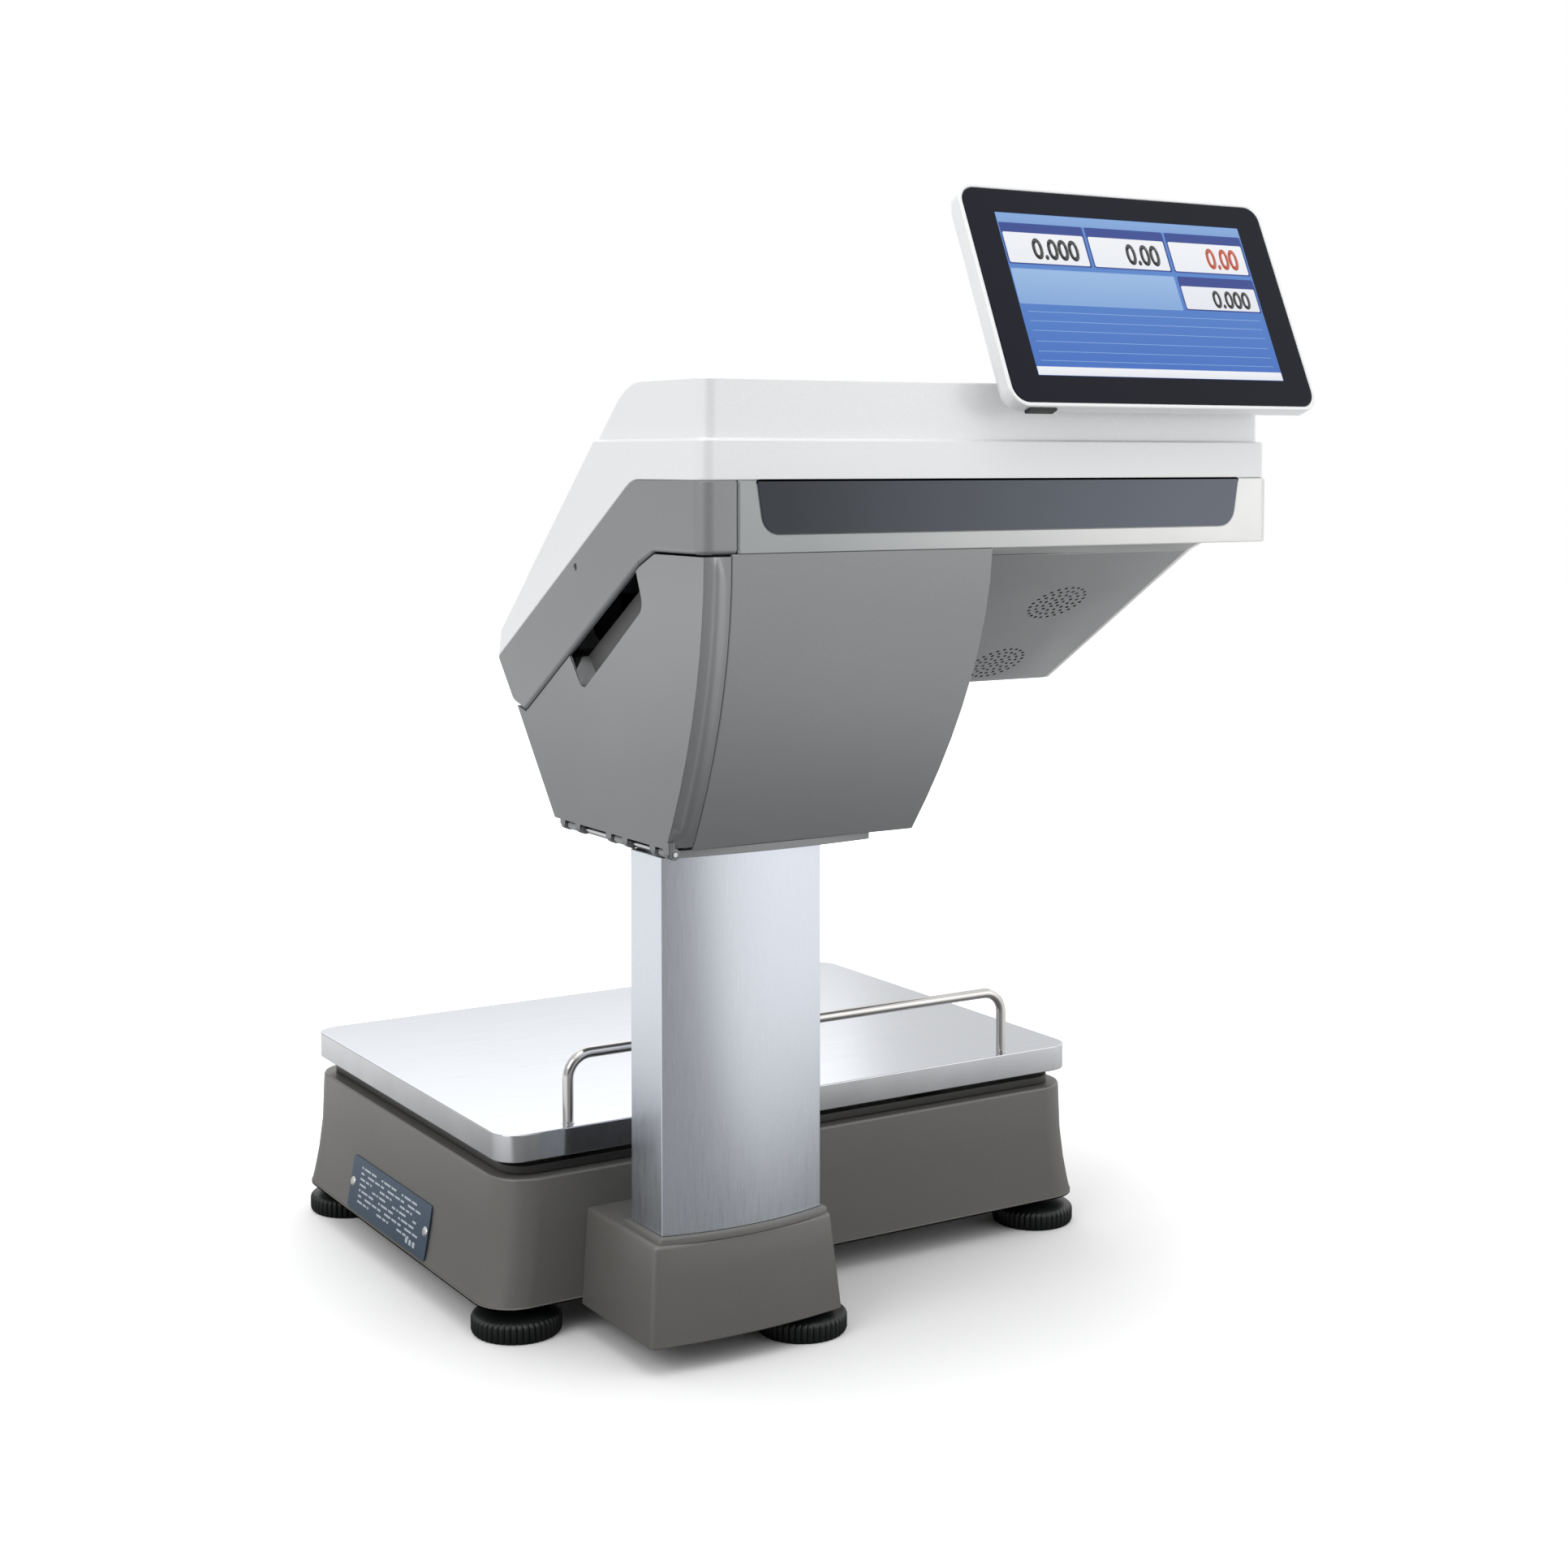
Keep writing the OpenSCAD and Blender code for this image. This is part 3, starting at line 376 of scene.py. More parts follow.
def platter_sheet(name, top, skirt):
    """Stainless sheet: brushed along X where it is level, mirror bright round its folded skirt, whose colour
    is a touch darker as painted shade.
    """
    made = Surface(name, top, 0.2, Metallic=1.0)
    streaks = made.noise(1, 3, made.stretched((25, 2600, 2600)))
    split = made.add("ShaderNodeSeparateXYZ")
    made.link(made.add("ShaderNodeNewGeometry").outputs["Normal"], split.inputs[0])
    level = made.add("ShaderNodeMapRange")
    level.inputs["From Min"].default_value = 0.55
    level.inputs["From Max"].default_value = 0.85
    made.link(split.outputs["Z"], level.inputs["Value"])
    # Painted shade: the folded skirt takes its own colour, a touch darker than the level top, chosen by the
    # surface's slope.
    blend = made.add("ShaderNodeMix", data_type="RGBA")
    made.link(level.outputs["Result"], blend.inputs["Factor"])
    drift = made.noise(24, 3)
    sides = made.ramp(drift, [(0.3, paint(*shifted(skirt, -8))), (0.7, paint(*shifted(skirt, 6)))])
    flat = made.ramp(streaks, [(0.3, paint(*shifted(top, -5))), (0.7, paint(*shifted(top, 4)))])
    made.link(sides, blend.inputs["A"])
    made.link(flat, blend.inputs["B"])
    made.link(blend.outputs["Result"], made.shader.inputs["Base Color"])
    rough = made.add("ShaderNodeMapRange")
    rough.inputs["To Min"].default_value = 0.09
    rough.inputs["To Max"].default_value = 0.20
    made.link(level.outputs["Result"], rough.inputs["Value"])
    made.link(rough.outputs["Result"], made.shader.inputs["Roughness"])
    made.relief(streaks, 0.000004)
    return made.material


def polished(name, colour, roughness):
    """Polished metal with faint smears and hairline scratches."""
    made = Surface(name, colour, roughness, Metallic=1.0)
    made.tint(shifted(colour, -4), shifted(colour, 4), made.noise(30, 3))
    made.gloss(roughness * 0.7, roughness * 1.6, made.noise(18, 4))
    made.relief(made.noise(1, 2, made.stretched((2600, 90, 2600))), 0.000003)
    return made.material


def bare_steel(name, colour, roughness):
    """Plated fasteners and pressed parts, slightly mottled."""
    made = Surface(name, colour, roughness, Metallic=1.0)
    made.tint(shifted(colour, -10), shifted(colour, 8), made.noise(160, 3))
    made.gloss(roughness - 0.08, roughness + 0.1, made.noise(220, 2))
    made.relief(made.noise(900, 2), 0.00001)
    return made.material


def cast_metal(name, colour):
    made = Surface(name, colour, 0.55, Metallic=0.8)
    made.tint(shifted(colour, -12), shifted(colour, 10), made.noise(120, 4))
    made.relief(made.noise(500, 3), 0.00008)
    return made.material


def rubber(name, colour, roughness=0.62):
    made = Surface(name, colour, roughness)
    made.tint(shifted(colour, -4), shifted(colour, 6), made.noise(60, 4))
    made.gloss(roughness - 0.1, roughness + 0.12, made.noise(90, 3))
    made.relief(made.noise(2200, 2), 0.00003)
    return made.material


def coated_glass(name, colour, roughness=0.06):
    """Dark printed glass under a clear, faintly smudged face."""
    made = Surface(name, colour, roughness, Specular_IOR_Level=0.16)
    made.tint(shifted(colour, -2), shifted(colour, 2), made.noise(6, 2))
    made.gloss(roughness * 0.6, roughness * 2.0, made.noise(11, 4))
    return made.material


def strip_panel_painted_light(name):
    """The gloss strip along the console, with painted light: a little paler towards the operator's right."""
    made = Surface(name, (58, 64, 76), 0.16, Specular_IOR_Level=0.4)
    low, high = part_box("front_strip")
    # Painted light: the colour runs from pale at one end of the strip to dark at the other.
    made.drift("X", low.x, high.x, (92, 99, 112), (40, 45, 54))
    made.gloss(0.10, 0.22, made.noise(11, 4))
    return made.material


def silver_frame_painted_shade(name):
    """Silver paint with metal flake, with painted shade that darkens it towards the printer side."""
    made = Surface(name, (206, 206, 204), 0.30, Metallic=0.45)
    low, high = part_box("console_frame")
    # Painted shade: pale at one end, darker towards the printer side.
    made.drift("X", low.x, high.x, (224, 224, 222), (158, 161, 162), 0.05)
    made.gloss(0.26, 0.36, made.noise(14, 3))
    made.relief(made.noise(1400, 2), 0.00002)
    return made.material


def lit(name, colour, strength=0.9, low=None):
    """A part of a lit screen, shaded from low at its foot to colour at its head."""
    made = Surface(name, (8, 9, 12), 0.12)
    across = made.add("ShaderNodeTexCoord").outputs["Generated"]
    split = made.add("ShaderNodeSeparateXYZ")
    made.link(across, split.inputs[0])
    foot = paint(*(low or shifted(colour, -6)))
    shade = made.ramp(split.outputs["Z"], [(0.0, foot), (1.0, paint(*colour))])
    made.link(shade, made.shader.inputs["Emission Color"])
    made.shader.inputs["Emission Strength"].default_value = strength
    return made.material


def paper(name, colour):
    """Label paper, whose sides show the edges of the turns wound round the roll's axis."""
    low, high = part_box("label_roll")
    made = Surface(name, colour, 0.8)
    made.tint(shifted(colour, -6), shifted(colour, 3), made.noise(700, 4))
    rings = made.add("ShaderNodeTexWave", wave_type="RINGS", rings_direction="X")
    rings.inputs["Scale"].default_value = 320
    to_axis = (0, -(low.y + high.y) / 2, -(low.z + high.z) / 2)
    made.link(made.stretched((1, 1, 1), to_axis), rings.inputs["Vector"])
    made.relief(rings.outputs["Fac"], 0.00006)
    return made.material


def circuit(name, colour):
    """Solder resist with a net of tracks under it."""
    made = Surface(name, colour, 0.35)
    tracks = made.add("ShaderNodeTexBrick")
    tracks.inputs["Scale"].default_value = 140
    tracks.inputs["Mortar Size"].default_value = 0.06
    tracks.inputs["Color1"].default_value = paint(*colour)
    tracks.inputs["Color2"].default_value = paint(*shifted(colour, 8))
    tracks.inputs["Mortar"].default_value = paint(*shifted(colour, 34))
    made.link(made.stretched((1, 1.6, 1)), tracks.inputs["Vector"])
    made.link(tracks.outputs["Color"], made.shader.inputs["Base Color"])
    made.relief(tracks.outputs["Fac"], 0.00003)
    return made.material


def make_finishes():
    """A material for each of the record's slots, and three more for the door, its recess and the print; the
    door's paint carries painted shade.
    """
    return {
        "base_paint": satin_paint("base_paint", (114, 113, 110), 0.38, 0.25),
        "deck_black": satin_paint("deck_black", (52, 51, 49), 0.45),
        "cast_plate": cast_metal("cast_plate", (140, 140, 138)),
        "cell_aluminium": brushed("cell_aluminium", (205, 207, 210), 0.35, (30, 1800, 1800)),
        "bolt_steel": bare_steel("bolt_steel", (92, 92, 94), 0.4),
        "rubber_black": rubber("rubber_black", (24, 24, 24)),
        "vial": coated_glass("vial", (170, 190, 70), 0.08),
        "plate_foil": brushed("plate_foil", (80, 98, 116), 0.42, (1500, 20, 1500), 0.6),
        "recess_shadow": moulded("recess_shadow", (92, 93, 92), 0.5),
        "plate_print": satin_paint("plate_print", (190, 200, 208), 0.5),
        "rivet_steel": polished("rivet_steel", (225, 225, 226), 0.18),
        "circuit_board": circuit("circuit_board", (22, 84, 48)),
        "supply_case": brushed("supply_case", (176, 178, 180), 0.4, (40, 900, 900)),
        "black_plastic": moulded("black_plastic", (22, 22, 23), 0.45),
        # The platter's skirt colour carries painted shade.
        "platter_steel": platter_sheet("platter_steel", (204, 207, 213), (200, 201, 204)),
        "rail_steel": polished("rail_steel", (206, 204, 202), 0.12),
        "foot_plastic": moulded("foot_plastic", (17, 20, 20), 0.42),
        "stud_steel": polished("stud_steel", (205, 206, 208), 0.2),
        "column_aluminium": brushed("column_aluminium", (216, 221, 229), 0.30, (2600, 2600, 60),
                                    depth=0.000002, spread=3),
        "housing_grey": satin_paint("housing_grey", (140, 142, 143), 0.36, 0.3),
        # The printer door's paint has painted shade, darker towards its foot.
        "door_grey_painted_shade": door_paint_with_painted_shade("door_grey_painted_shade", (118, 120, 121), (150, 152, 153), 0.36, 0.3),
        "chassis_steel": bare_steel("chassis_steel", (176, 178, 180), 0.35),
        "cover_white": satin_paint("cover_white", (236, 237, 238), 0.28, 0.1, uneven=0.012),
        # The frame's colour carries painted shade towards the printer side.
        "frame_silver": silver_frame_painted_shade("frame_silver"),
        # The strip's colour carries painted light along its length.
        "strip_gloss": strip_panel_painted_light("strip_gloss"),
        "screen_glass": coated_glass("screen_glass", (16, 19, 30), 0.05),
        "screen_panel": bare_steel("screen_panel", (120, 124, 128), 0.45),
        "label_paper": paper("label_paper", (240, 239, 233)),
        "spool_black": moulded("spool_black", (34, 34, 36), 0.4),
        "roller_rubber": rubber("roller_rubber", (30, 30, 31), 0.55),
        "head_module": moulded("head_module", (48, 49, 52), 0.4),
        "lever_blue": moulded("lever_blue", (38, 92, 156), 0.35),
    }


# ---------- carried-over CAD nodes ----------


LIP_SLOPE = 0.643
LIP_FOOT = (33.7 * MM, 13 * MM)
LIP_TOP = 98 * MM
HEAD_CORNER = 12 * MM


def band_lip(point):
    """Whether a point of the side band is on its lower outer edge, round the corner of the head."""
    low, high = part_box("side_band")
    outside = point.x > high.x - 2 * MM or point.y > high.y - 2 * MM
    corner = point.y > high.y - HEAD_CORNER and point.x > high.x - HEAD_CORNER
    lip = low.z + LIP_FOOT[1] + LIP_SLOPE * (point.y - low.y - LIP_FOOT[0])
    return (outside or corner) and point.z < min(lip, low.z + LIP_TOP)


WIDE_ROUNDS = {"side_band": (2.6 * MM, band_lip)}


def wide_round(obj, width, belongs):
    """A broad round on the edges whose ends both belong."""
    group = obj.vertex_groups.new(name="wide")
    group.add([vert.index for vert in obj.data.vertices if belongs(vert.co)], 1.0, "REPLACE")
    edge = obj.modifiers.new("wide", "BEVEL")
    edge.width = width
    edge.segments = 4
    edge.limit_method = "VGROUP"
    edge.vertex_group = group.name
    edge.use_clamp_overlap = False


def soften(name, width, segments=2, angle=28):
    """Rounds a CAD node's sharp edges, as a moulded or bent part has them."""
    obj = NODES[name]
    weld = obj.modifiers.new("weld", "WELD")
    weld.merge_threshold = 0.00001
    flat = obj.modifiers.new("flat", "DECIMATE")
    flat.decimate_type = "DISSOLVE"
    flat.angle_limit = math.radians(0.5)
    if name in WIDE_ROUNDS:
        wide_round(obj, *WIDE_ROUNDS[name])
    if width:
        edge = obj.modifiers.new("edge", "BEVEL")
        edge.width = width
        edge.segments = segments
        edge.limit_method = "ANGLE"
        edge.angle_limit = math.radians(angle)
        edge.use_clamp_overlap = False
        edge.miter_outer = "MITER_ARC"
    even = obj.modifiers.new("even", "WEIGHTED_NORMAL")
    even.keep_sharp = False
    even.weight = 80


def clean_shading(obj):
    """Drops the imported corner normals, so that the modifiers' smooth shading shows."""
    mesh = obj.data
    if "custom_normal" in mesh.attributes:
        mesh.attributes.remove(mesh.attributes["custom_normal"])
    mesh.shade_smooth()


EDGE_WIDTHS = {
    "base_housing": 1.6, "base_deck": 0.8, "platter": 0.7, "column": 0.6,
    "printer_housing": 0.7, "printer_door": 0.0, "side_band": 0.9, "console_frame": 0.9,
    "head_cover": 0.9, "console_underside": 0.0, "front_strip": 0.15, "display_shell": 0.9,
    "display_glass": 0.2, "touch_glass": 0.3, "rating_plate": 0.15,
    "rating_rivets": 0.25, "base_plate": 0.4, "power_inlet": 0.4, "power_switch": 0.6,
    "housing_floor": 0.3, "display_bracket": 0.6, "display_port_cover": 0.3,
}
PLAIN_EDGE = 0.15


def dress_nodes(finishes):
    """Gives every CAD node its finish and rounds its edges."""
    for name, obj in NODES.items():
        obj.data.materials.clear()
        # The printer door gets its own paint, which has painted shade towards its foot.
        obj.data.materials.append(finishes["door_grey_painted_shade" if name == "printer_door" else SLOT_OF[name]])
        clean_shading(obj)
        soften(name, EDGE_WIDTHS.get(name, PLAIN_EDGE) * MM)


# ---------- shared shapes for new pieces ----------


def add_piece(name, form, finish, body, smooth=True):
    """Turns a bmesh into a piece that rides on a body."""
    mesh = bpy.data.meshes.new(name)
    bmesh.ops.recalc_face_normals(form, faces=form.faces)
    form.to_mesh(mesh)
    form.free()
    mesh.materials.append(finish)
    if smooth:
        mesh.shade_smooth()
        mesh.set_sharp_from_angle(angle=math.radians(32))
    piece = bpy.data.objects.new(name, mesh)
    bpy.context.scene.collection.objects.link(piece)
    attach(piece, body)
    return piece


def rounded(u0, v0, u1, v1, radius, steps=6):
    """Outline of a rectangle with round corners, anticlockwise."""
    corners = [(u1 - radius, v0 + radius, -90), (u1 - radius, v1 - radius, 0),
               (u0 + radius, v1 - radius, 90), (u0 + radius, v0 + radius, 180)]
    points = []
    for u, v, start in corners:
        for step in range(steps + 1):
            turn = math.radians(start + 90 * step / steps)
            points.append((u + radius * math.cos(turn), v + radius * math.sin(turn)))
    return points


def add_plate(form, plane, outline, low, high):
    """A flat plate with that outline, between two heights over the plane."""
    rings = [[form.verts.new(plane @ Vector((u, v, w))) for u, v in outline] for w in (low, high)]
    form.faces.new(rings[1])
    form.faces.new(list(reversed(rings[0])))
    count = len(outline)
    for k in range(count):
        after = (k + 1) % count
        form.faces.new((rings[0][k], rings[0][after], rings[1][after], rings[1][k]))


def plates(name, plane, outlines, low, high, finish, body):
    """Several plates of one material as one piece. Sizes are in millimetres."""
    form = bmesh.new()
    for outline in outlines:
        add_plate(form, plane, [(u * MM, v * MM) for u, v in outline], low * MM, high * MM)
    return add_piece(name, form, finish, body, smooth=False)


FIGURE_WEIGHT = 0.03


def numerals(name, plane, rows, high, finish, body):
    """Plain figures, each row (text, right end, foot, height, width), in millimetres."""
    form = bmesh.new()
    for text, right, foot, height, width in rows:
        curve = bpy.data.curves.new("figures", "FONT")
        curve.body = text
        curve.resolution_u = 4
        curve.offset = FIGURE_WEIGHT
        maker = bpy.data.objects.new("figures", curve)
        bpy.context.scene.collection.objects.link(maker)
        bpy.context.view_layer.update()
        flat = bpy.data.meshes.new_from_object(maker.evaluated_get(bpy.context.evaluated_depsgraph_get()))
        xs = [v.co.x for v in flat.vertices]
        ys = [v.co.y for v in flat.vertices]
        grow_x = width / (max(xs) - min(xs))
        grow_y = height / (max(ys) - min(ys))
        old = len(form.verts)
        form.from_mesh(flat)
        form.verts.ensure_lookup_table()
        for vert in form.verts[old:]:
            u = right + (vert.co.x - max(xs)) * grow_x
            v = foot + (vert.co.y - min(ys)) * grow_y
            vert.co = plane @ Vector((u * MM, v * MM, high * MM))
        bpy.data.objects.remove(maker)
        bpy.data.curves.remove(curve)
        bpy.data.meshes.remove(flat)
    grown = bmesh.ops.extrude_face_region(form, geom=form.faces[:])
    out = (plane.to_3x3() @ Vector((0, 0, 1))) * 0.02 * MM
    bmesh.ops.translate(form, vec=out, verts=[g for g in grown["geom"] if isinstance(g, bmesh.types.BMVert)])
    return add_piece(name, form, finish, body, smooth=False)


def glass_plane(node, lean, facing, thickness):
    """Matrix of a leaning glass: X to the reader's right, Y up, Z out of its face."""
    low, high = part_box(node)
    angle = math.radians(lean)
    out = Vector((0, facing * math.cos(angle), math.sin(angle)))
    right = Vector((-facing, 0, 0))
    up = out.cross(right)
    place = (low + high) / 2 + out * thickness / 2
    plane = Matrix((right, up, out)).transposed().to_4x4()
    plane.translation = place
    return plane


def loft(form, rings):
    """A closed skin through rings of equal point counts, capped at both ends."""
    loops = [[form.verts.new(point) for point in ring] for ring in rings]
    form.faces.new(list(reversed(loops[0])))
    form.faces.new(loops[-1])
    for lower, upper in zip(loops, loops[1:]):
        for k in range(len(lower)):
            after = (k + 1) % len(lower)
            form.faces.new((lower[k], lower[after], upper[after], upper[k]))


# ---------- column foot ----------

FOOT_TAPER = 4.5 * MM
FOOT_BOW = 5 * MM
FOOT_CORNER = 3.4 * MM
FOOT_ROUND = 2.2 * MM
FOOT_WALL = 5 * MM
BASE_SPREAD = 2.4 * MM
BASE_CURVE = 2.2
COLLAR_RISE = 3 * MM
COLLAR_MARGIN = 3 * MM
COLLAR_BOW = 7 * MM


def bowed_outline(middle, back, width, depth, bow, radius):
    """A rectangle whose far side bows out and whose far corners are round."""
    half = width / 2
    slope = math.atan(2 * bow / half)

    def reach(across):
        return back + depth + bow * (1 - (across / half) ** 2)

    end = half - radius + radius * math.sin(slope)
    centre = reach(end) - radius * math.cos(slope)
    turns = [(math.pi / 2 - slope) * k / 5 for k in range(6)]
    corner = [(half - radius + radius * math.cos(turn), centre + radius * math.sin(turn)) for turn in turns]
    spans = [end * (1 - k / 8) for k in range(1, 16)]
    face = [(across, reach(across)) for across in spans]
    outline = [(-half, back), (half, back)] + corner + face + [(-x, y) for x, y in reversed(corner)]
    return [(middle + x, y) for x, y in outline]


def column_foot(finish):
    """The moulded foot under the column: tapered walls, a bowed face, round edges and a collar."""
    low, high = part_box("column_foot")
    base_low, base_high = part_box("base_housing")
    column_low, column_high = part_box("column")
    top = high.z - COLLAR_RISE
    middle = (low.x + high.x) / 2
    width = high.x - low.x - 2 * FOOT_TAPER
    face = high.y - FOOT_BOW - FOOT_TAPER

    def ring(z, inset, inner=0.0):
        share = min(1.0, (base_high.z - z) / (base_high.z - base_low.z))
        back = base_high.y - BASE_SPREAD * (1 - share ** BASE_CURVE) + 0.25 * MM
        spread = FOOT_TAPER * (top - z) / (top - low.z) - inset - inner
        corner = max(1 * MM, FOOT_CORNER - inner)
        outline = bowed_outline(middle, back + inner, width + 2 * spread, face + spread - back - inner,
                                FOOT_BOW, corner)
        return [(x, y, z) for x, y in outline]

    rings = [ring(top - FOOT_WALL, 0, FOOT_WALL), ring(low.z, 0, FOOT_WALL), ring(low.z, 0.5 * MM),
             ring(low.z + 0.5 * MM, 0)]
    rings += [ring(low.z + (top - FOOT_ROUND - low.z) * share, 0) for share in (0.2, 0.4, 0.7)]
    for step in range(6):
        turn = math.pi / 2 * step / 5
        rings.append(ring(top - FOOT_ROUND * (1 - math.sin(turn)), FOOT_ROUND * (1 - math.cos(turn))))
    form = bmesh.new()
    loft(form, rings)
    collar_width = column_high.x - column_low.x + 2 * COLLAR_MARGIN
    collar_depth = column_high.y - column_low.y - COLLAR_BOW + 2 * COLLAR_MARGIN
    collar_middle = (column_low.x + column_high.x) / 2

    def collar(z, inset):
        outline = bowed_outline(collar_middle, column_low.y - COLLAR_MARGIN + inset, collar_width - 2 * inset,
                                collar_depth - 2 * inset, COLLAR_BOW, 2.5 * MM)
        return [(x, y, z) for x, y in outline]

    loft(form, [collar(top - 0.5 * MM, 0), collar(high.z - 1 * MM, 0), collar(high.z - 0.3 * MM, 0.3 * MM),
                collar(high.z, 1 * MM)])
    piece = add_piece("column_foot_shell", form, finish, "base")
    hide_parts("column_foot")


# ---------- guard rail ----------

RAIL_BEND = 13 * MM


def guard_rail(finish):
    """One bent rod with a round section, from one leg over to the other."""
    low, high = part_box("guard_rail")
    rod = (high.y - low.y) / 2
    middle = (low.y + high.y) / 2
    left, right = low.x + rod, high.x - rod
    shoulder = high.z - rod - RAIL_BEND
    path = [(left, low.z, 90)]
    for step in range(11):
        turn = math.radians(180 - 9 * step)
        path.append((left + RAIL_BEND + RAIL_BEND * math.cos(turn), shoulder + RAIL_BEND * math.sin(turn),
                     90 - 9 * step))
    for step in range(11):
        turn = math.radians(90 - 9 * step)
        path.append((right - RAIL_BEND + RAIL_BEND * math.cos(turn), shoulder + RAIL_BEND * math.sin(turn),
                     -9 * step))
    path.append((right, low.z, -90))
    rings = []
    for x, z, heading in path:
        lean = math.radians(heading + 90)
        ring = []
        for step in range(24):
            turn = 2 * math.pi * step / 24
            out = rod * math.sin(turn)
            ring.append((x + out * math.cos(lean), middle + rod * math.cos(turn), z + out * math.sin(lean)))
        rings.append(ring)
    form = bmesh.new()
    loft(form, rings)
    piece = add_piece("guard_rail_rod", form, finish, "platter")
    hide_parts("guard_rail")


# ---------- rating plate ----------

PLATE_SHEET = 0.8 * MM


def plate_print(finish):
    """Rows of blank marks on the rating plate, which carry no words."""
    low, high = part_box("rating_plate")
    lean = math.atan2(high.x - low.x - PLATE_SHEET, high.z - low.z)
    out = Vector((math.cos(lean), 0, math.sin(lean)))
    up = Vector((-math.sin(lean), 0, math.cos(lean)))
    plane = Matrix((Vector((0, 1, 0)), up, out)).transposed().to_4x4()
    plane.translation = (low + high) / 2 + out * PLATE_SHEET / 2
    marks = []
    for row in range(7):
        u, step = -44.0, row
        while u < 40:
            width = 2.6 + 2.3 * ((3 * step + 2 * row) % 4)
            if (step + row) % 4 != 3:
                marks.append(rounded(u, 10.2 - 3.3 * row, u + width, 11.4 - 3.3 * row, 0.3, 2))
            u += width + 1.5
            step += 1
    marks += [rounded(u, -12.6, u + 3.2, -9.4, 0.8, 3) for u in (30, 35, 40)]
    plates("rating_plate_print", plane, marks, 0.02, 0.05, finish, "base")


# ---------- finger recess in the door ----------

SCOOP_REACH = 9 * MM
SCOOP_DEPTH = 10.5 * MM
SCOOP_SKIN = 1.4 * MM
SCOOP_RIBS = 34
SCOOP_RIB_RISE = 0.35 * MM
SCOOP_FOOT = (84.5, 80.6)
SCOOP_RUN = (60.5, 41.5)
RECESS_OUTLINE = [(66, 95), (77, 81), (87, 81), (146, 122.5), (148.5, 127), (142, 144)]


def door_scoop(finish, shadow):
    """The ribbed lip of the finger recess, which curves from the door's face inwards and up."""
    low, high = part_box("printer_door")
    foot = Vector((0, low.y + SCOOP_FOOT[0] * MM, low.z + SCOOP_FOOT[1] * MM))
    head = foot + Vector((0, SCOOP_RUN[0] * MM, SCOOP_RUN[1] * MM))
    along = (head - foot).normalized()
    inward = Vector((0, -along.z, along.y))
    face = high.x - 0.5 * MM
    rings = []
    steps = SCOOP_RIBS * 6
    for step in range(steps + 1):
        share = step / steps
        rib_rise = SCOOP_RIB_RISE * (1 + math.sin(2 * math.pi * SCOOP_RIBS * share)) / 2
        start = foot.lerp(head, share)
        skin = []
        for part in range(9):
            bend = math.pi / 2 * part / 8
            reach = SCOOP_REACH * (1 - math.cos(bend))
            sunk = SCOOP_DEPTH * math.sin(bend)
            rise = rib_rise * min(1, part / 2)
            point = start + inward * (reach + rise)
            skin.append(Vector((face - sunk, point.y, point.z)))
        back = [point - inward * SCOOP_SKIN - Vector((0.2 * MM, 0, 0)) for point in reversed(skin)]
        rings.append(skin + back)
    form = bmesh.new()
    loft(form, rings)
    add_piece("door_scoop", form, finish, "door")
    plane = Matrix(((0, 0, 1), (1, 0, 0), (0, 1, 0))).to_4x4()
    plane.translation = (face - SCOOP_DEPTH - 0.6 * MM, low.y, low.z)
    plates("door_recess_back", plane, [RECESS_OUTLINE], -0.8, 0, shadow, "door")


# ---------- levelling feet ----------

RIBS = 44


def rib(turn):
    """Depth of the grooves between the ribs round a foot, from 0 on a rib to 1 in a groove."""
    return 1 - abs(math.sin(turn * RIBS / 2)) ** 0.6


def foot_tread(index, finish):
    """A ribbed foot wheel with a domed top and a seat for its stud."""
    name = f"foot_wheel_{index}"
    low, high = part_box(name)
    centre = (low + high) / 2
    radius = (high.x - low.x) / 2
    rise = high.z - low.z
    rings = [
        (0.0, 0.03, 0), (radius - 5 * MM, 0.03, 0), (radius - 4.6 * MM, 0.0, 0),
        (radius - 1.6 * MM, 0.0, 0.2),
        (radius - 0.5 * MM, 0.07, 0.9), (radius, 0.16, 1), (radius, 0.60, 1), (radius - 0.5 * MM, 0.68, 0.9),
        (radius - 1.5 * MM, 0.74, 0.3), (radius - 2.4 * MM, 0.775, 0), (radius - 6 * MM, 0.87, 0),
        (radius - 11 * MM, 0.94, 0), (radius - 16 * MM, 0.975, 0), (6.6 * MM, 0.985, 0), (6.0 * MM, 1.0, 0),
        (4.2 * MM, 1.0, 0), (4.1 * MM, 0.93, 0), (0.0, 0.93, 0),
    ]
    steps = RIBS * 6
    form = bmesh.new()
    loops = []
    for ring_radius, share, ripple in rings:
        if ring_radius == 0.0:
            loops.append([form.verts.new((centre.x, centre.y, low.z + share * rise))])
            continue
        loop = []
        for step in range(steps):
            turn = 2 * math.pi * step / steps
            reach = ring_radius - 1.1 * MM * ripple * rib(turn)
            loop.append(form.verts.new((centre.x + reach * math.cos(turn), centre.y + reach * math.sin(turn),
                                        low.z + share * rise)))
        loops.append(loop)
    for inner, outer in zip(loops, loops[1:]):
        for step in range(steps):
            after = (step + 1) % steps
            corners = [inner[step % len(inner)], inner[after % len(inner)],
                       outer[after % len(outer)], outer[step % len(outer)]]
            form.faces.new(list(dict.fromkeys(corners)))
    piece = add_piece(f"foot_tread_{index}", form, finish, f"foot_{index}")
    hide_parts(name)


# ---------- customer display ----------

DISPLAY_LEAN = 24
DISPLAY_GLASS = 1.8 * MM


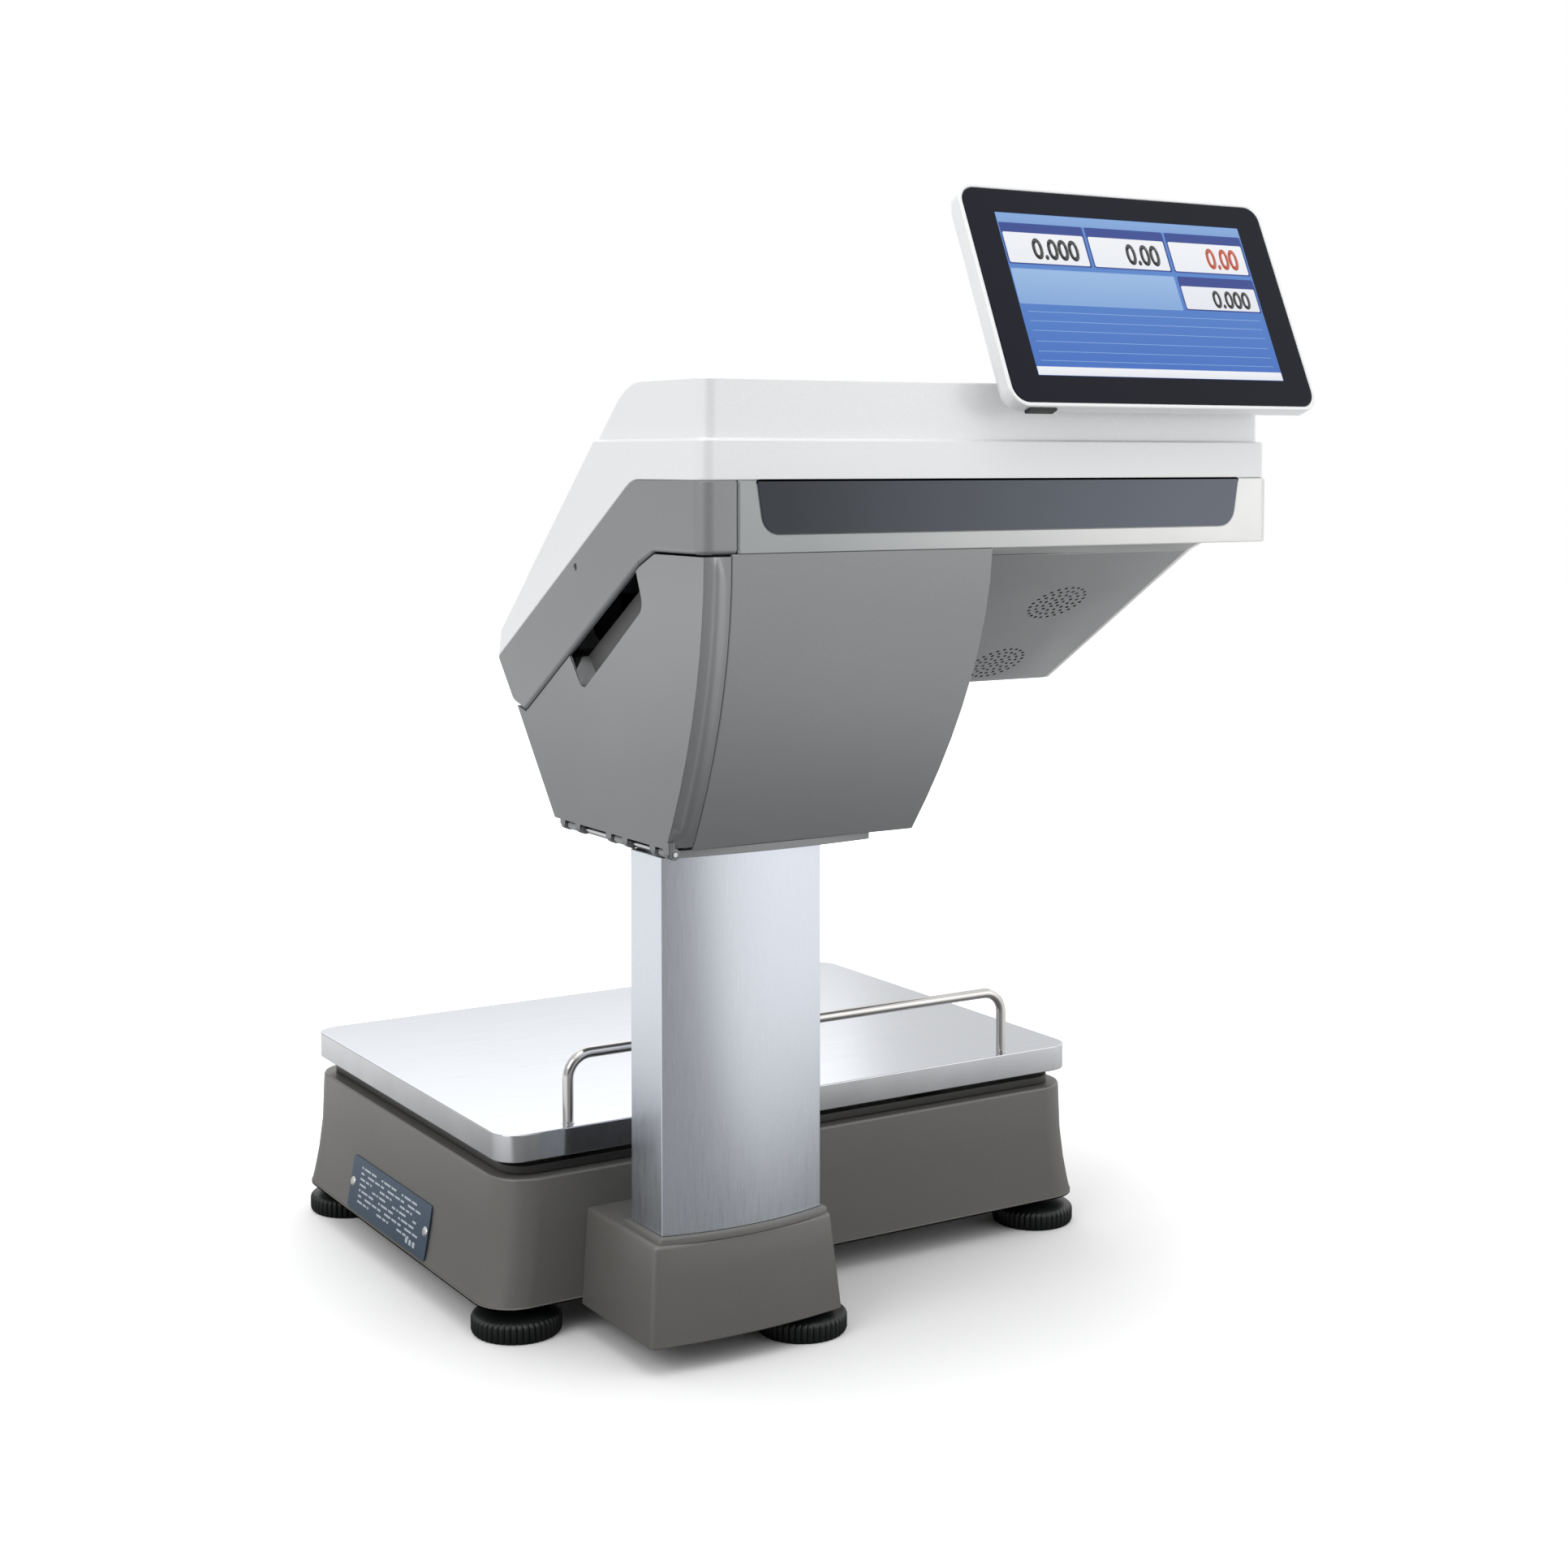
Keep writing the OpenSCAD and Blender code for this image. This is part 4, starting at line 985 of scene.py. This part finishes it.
def customer_screen(finishes):
    """The lit customer screen: three price boxes, one tare box, a message panel and a blank list."""
    plane = glass_plane("display_glass", DISPLAY_LEAN, 1, DISPLAY_GLASS)
    blue = lit("screen_blue", (88, 138, 205), 0.95, (52, 104, 190))
    pale = lit("screen_pale_blue", (150, 184, 226), 0.95, (128, 166, 216))
    strip = lit("screen_header", (128, 166, 218), 0.95)
    navy = lit("screen_navy", (34, 62, 142), 0.95)
    white = lit("screen_white", (240, 242, 246), 0.95, (228, 231, 238))
    line = lit("screen_line", (140, 176, 224), 0.95)
    black = lit("screen_black", (18, 18, 22), 0.9)
    red = lit("screen_red", (186, 74, 38), 0.95)

    def part(name, outlines, level, finish):
        plates(name, plane, outlines, 0.03 * level, 0.03 * level + 0.02, finish, "display")

    part("customer_screen", [rounded(-85.8, -47.4, 85.8, 48.2, 0.3)], 0, blue)
    part("customer_header", [rounded(-85.6, 42.4, 85.6, 48.0, 0.2)], 1, strip)
    part("customer_footer", [rounded(-85.6, -47.2, 85.6, -42.3, 0.2)], 1, white)
    columns = [(-85.2, -29.2), (-27.6, 27.4), (29.0, 85.0)]
    heads = [rounded(u0, 17.6, u1, 42.2, 1.2) for u0, u1 in columns]
    heads.append(rounded(29.4, -5.6, 85.0, 15.2, 1.2))
    part("customer_box_heads", heads, 1, navy)
    boxes = [rounded(u0 + 0.9, 18.4, u1 - 1.1, 36.6, 1.0) for u0, u1 in columns]
    boxes.append(rounded(30.2, -4.8, 84.0, 9.3, 1.0))
    part("customer_boxes", boxes, 2, white)
    part("customer_message", [rounded(-85.3, -5.9, 27.2, 15.0, 1.0)], 1, line)
    part("customer_message_face", [rounded(-84.8, -5.3, 26.6, 14.4, 0.8)], 2, pale)
    rules = [-10.4, -15.8, -21.4, -27.6, -33.4, -38.8]
    part("customer_list_rules", [rounded(-81.5, v - 0.15, 81.5, v + 0.15, 0.05) for v in rules], 1, line)
    rows = [("0.000", -35.6, 20.8, 12.8, 31.4), ("0.00", 21.0, 20.6, 13.0, 23.6),
            ("0.000", 78.6, -3.6, 11.0, 27.4)]
    numerals("customer_figures", plane, rows, 0.1, black, "display")
    numerals("customer_total", plane, [("0.00", 78.7, 20.8, 13.2, 23.4)], 0.1, red, "display")


# ---------- operator's touchscreen ----------

TOUCH_LEAN = 47.6
TOUCH_GLASS = 2.6 * MM


def operator_screen():
    """The lit touchscreen: totals along the top, a grid of blank goods keys and a number pad."""
    plane = glass_plane("touch_glass", TOUCH_LEAN, -1, TOUCH_GLASS)
    ground = lit("touch_ground", (206, 216, 228), 0.9, (178, 192, 210))
    bar = lit("touch_bar", (40, 66, 128), 0.9)
    white = lit("touch_white", (242, 244, 247), 0.9)
    keys = [lit("touch_key_green", (122, 184, 132), 0.9), lit("touch_key_amber", (232, 186, 104), 0.9),
            lit("touch_key_blue", (120, 160, 212), 0.9)]
    dark = lit("touch_dark", (24, 30, 44), 0.9)
    pad_key = lit("touch_pad_key", (228, 232, 238), 0.9)

    def part(name, outlines, level, finish):
        plates(name, plane, outlines, 0.03 * level, 0.03 * level + 0.02, finish, "base")

    part("operator_screen", [rounded(-142, -74, 142, 76, 0.5)], 0, ground)
    part("operator_bar", [rounded(-142, 66, 142, 76, 0.4)], 1, bar)
    part("operator_foot", [rounded(-142, -74, 142, -67, 0.4)], 1, bar)
    boxes = [(-138 + 70 * k, -72 + 70 * k) for k in range(4)]
    part("operator_boxes", [rounded(u0, 34, u1, 62, 2) for u0, u1 in boxes], 1, white)
    for tone, finish in enumerate(keys):
        outlines = []
        for row in range(4):
            for column in range(6):
                if (row + 2 * column) % 3 == tone:
                    u, v = -138 + 31 * column, 6 - 24 * row
                    outlines.append(rounded(u, v, u + 28, v + 21, 2))
        part(f"operator_keys_{tone + 1}", outlines, 1, finish)
    pads = [(54 + 28.5 * column, 6 - 24 * row) for row in range(4) for column in range(3)]
    part("operator_pad", [rounded(u, v, u + 26, v + 21, 2) for u, v in pads], 1, pad_key)
    figures = ["7", "8", "9", "4", "5", "6", "1", "2", "3", "0"]
    rows = [(text, u + (14.6 if text == "1" else 16.6), v + 5.5, 10, 3.4 if text == "1" else 7)
            for text, (u, v) in zip(figures, pads)]
    rows += [("0.000", u1 - 5, 39, 13, 30) for _, u1 in boxes[:1]]
    rows += [("0.00", u1 - 5, 39, 13, 24) for _, u1 in boxes[1:]]
    numerals("operator_figures", plane, rows, 0.1, dark, "base")


# ---------- build ----------


def build():
    finishes = make_finishes()
    dress_nodes(finishes)
    column_foot(finishes["base_paint"])
    guard_rail(finishes["rail_steel"])
    plate_print(finishes["plate_print"])
    door_scoop(finishes["housing_grey"], finishes["recess_shadow"])
    for index in range(1, 6):
        foot_tread(index, finishes["foot_plastic"])
    customer_screen(finishes)
    operator_screen()


make_camera()
make_floor()
light_studio()
build()
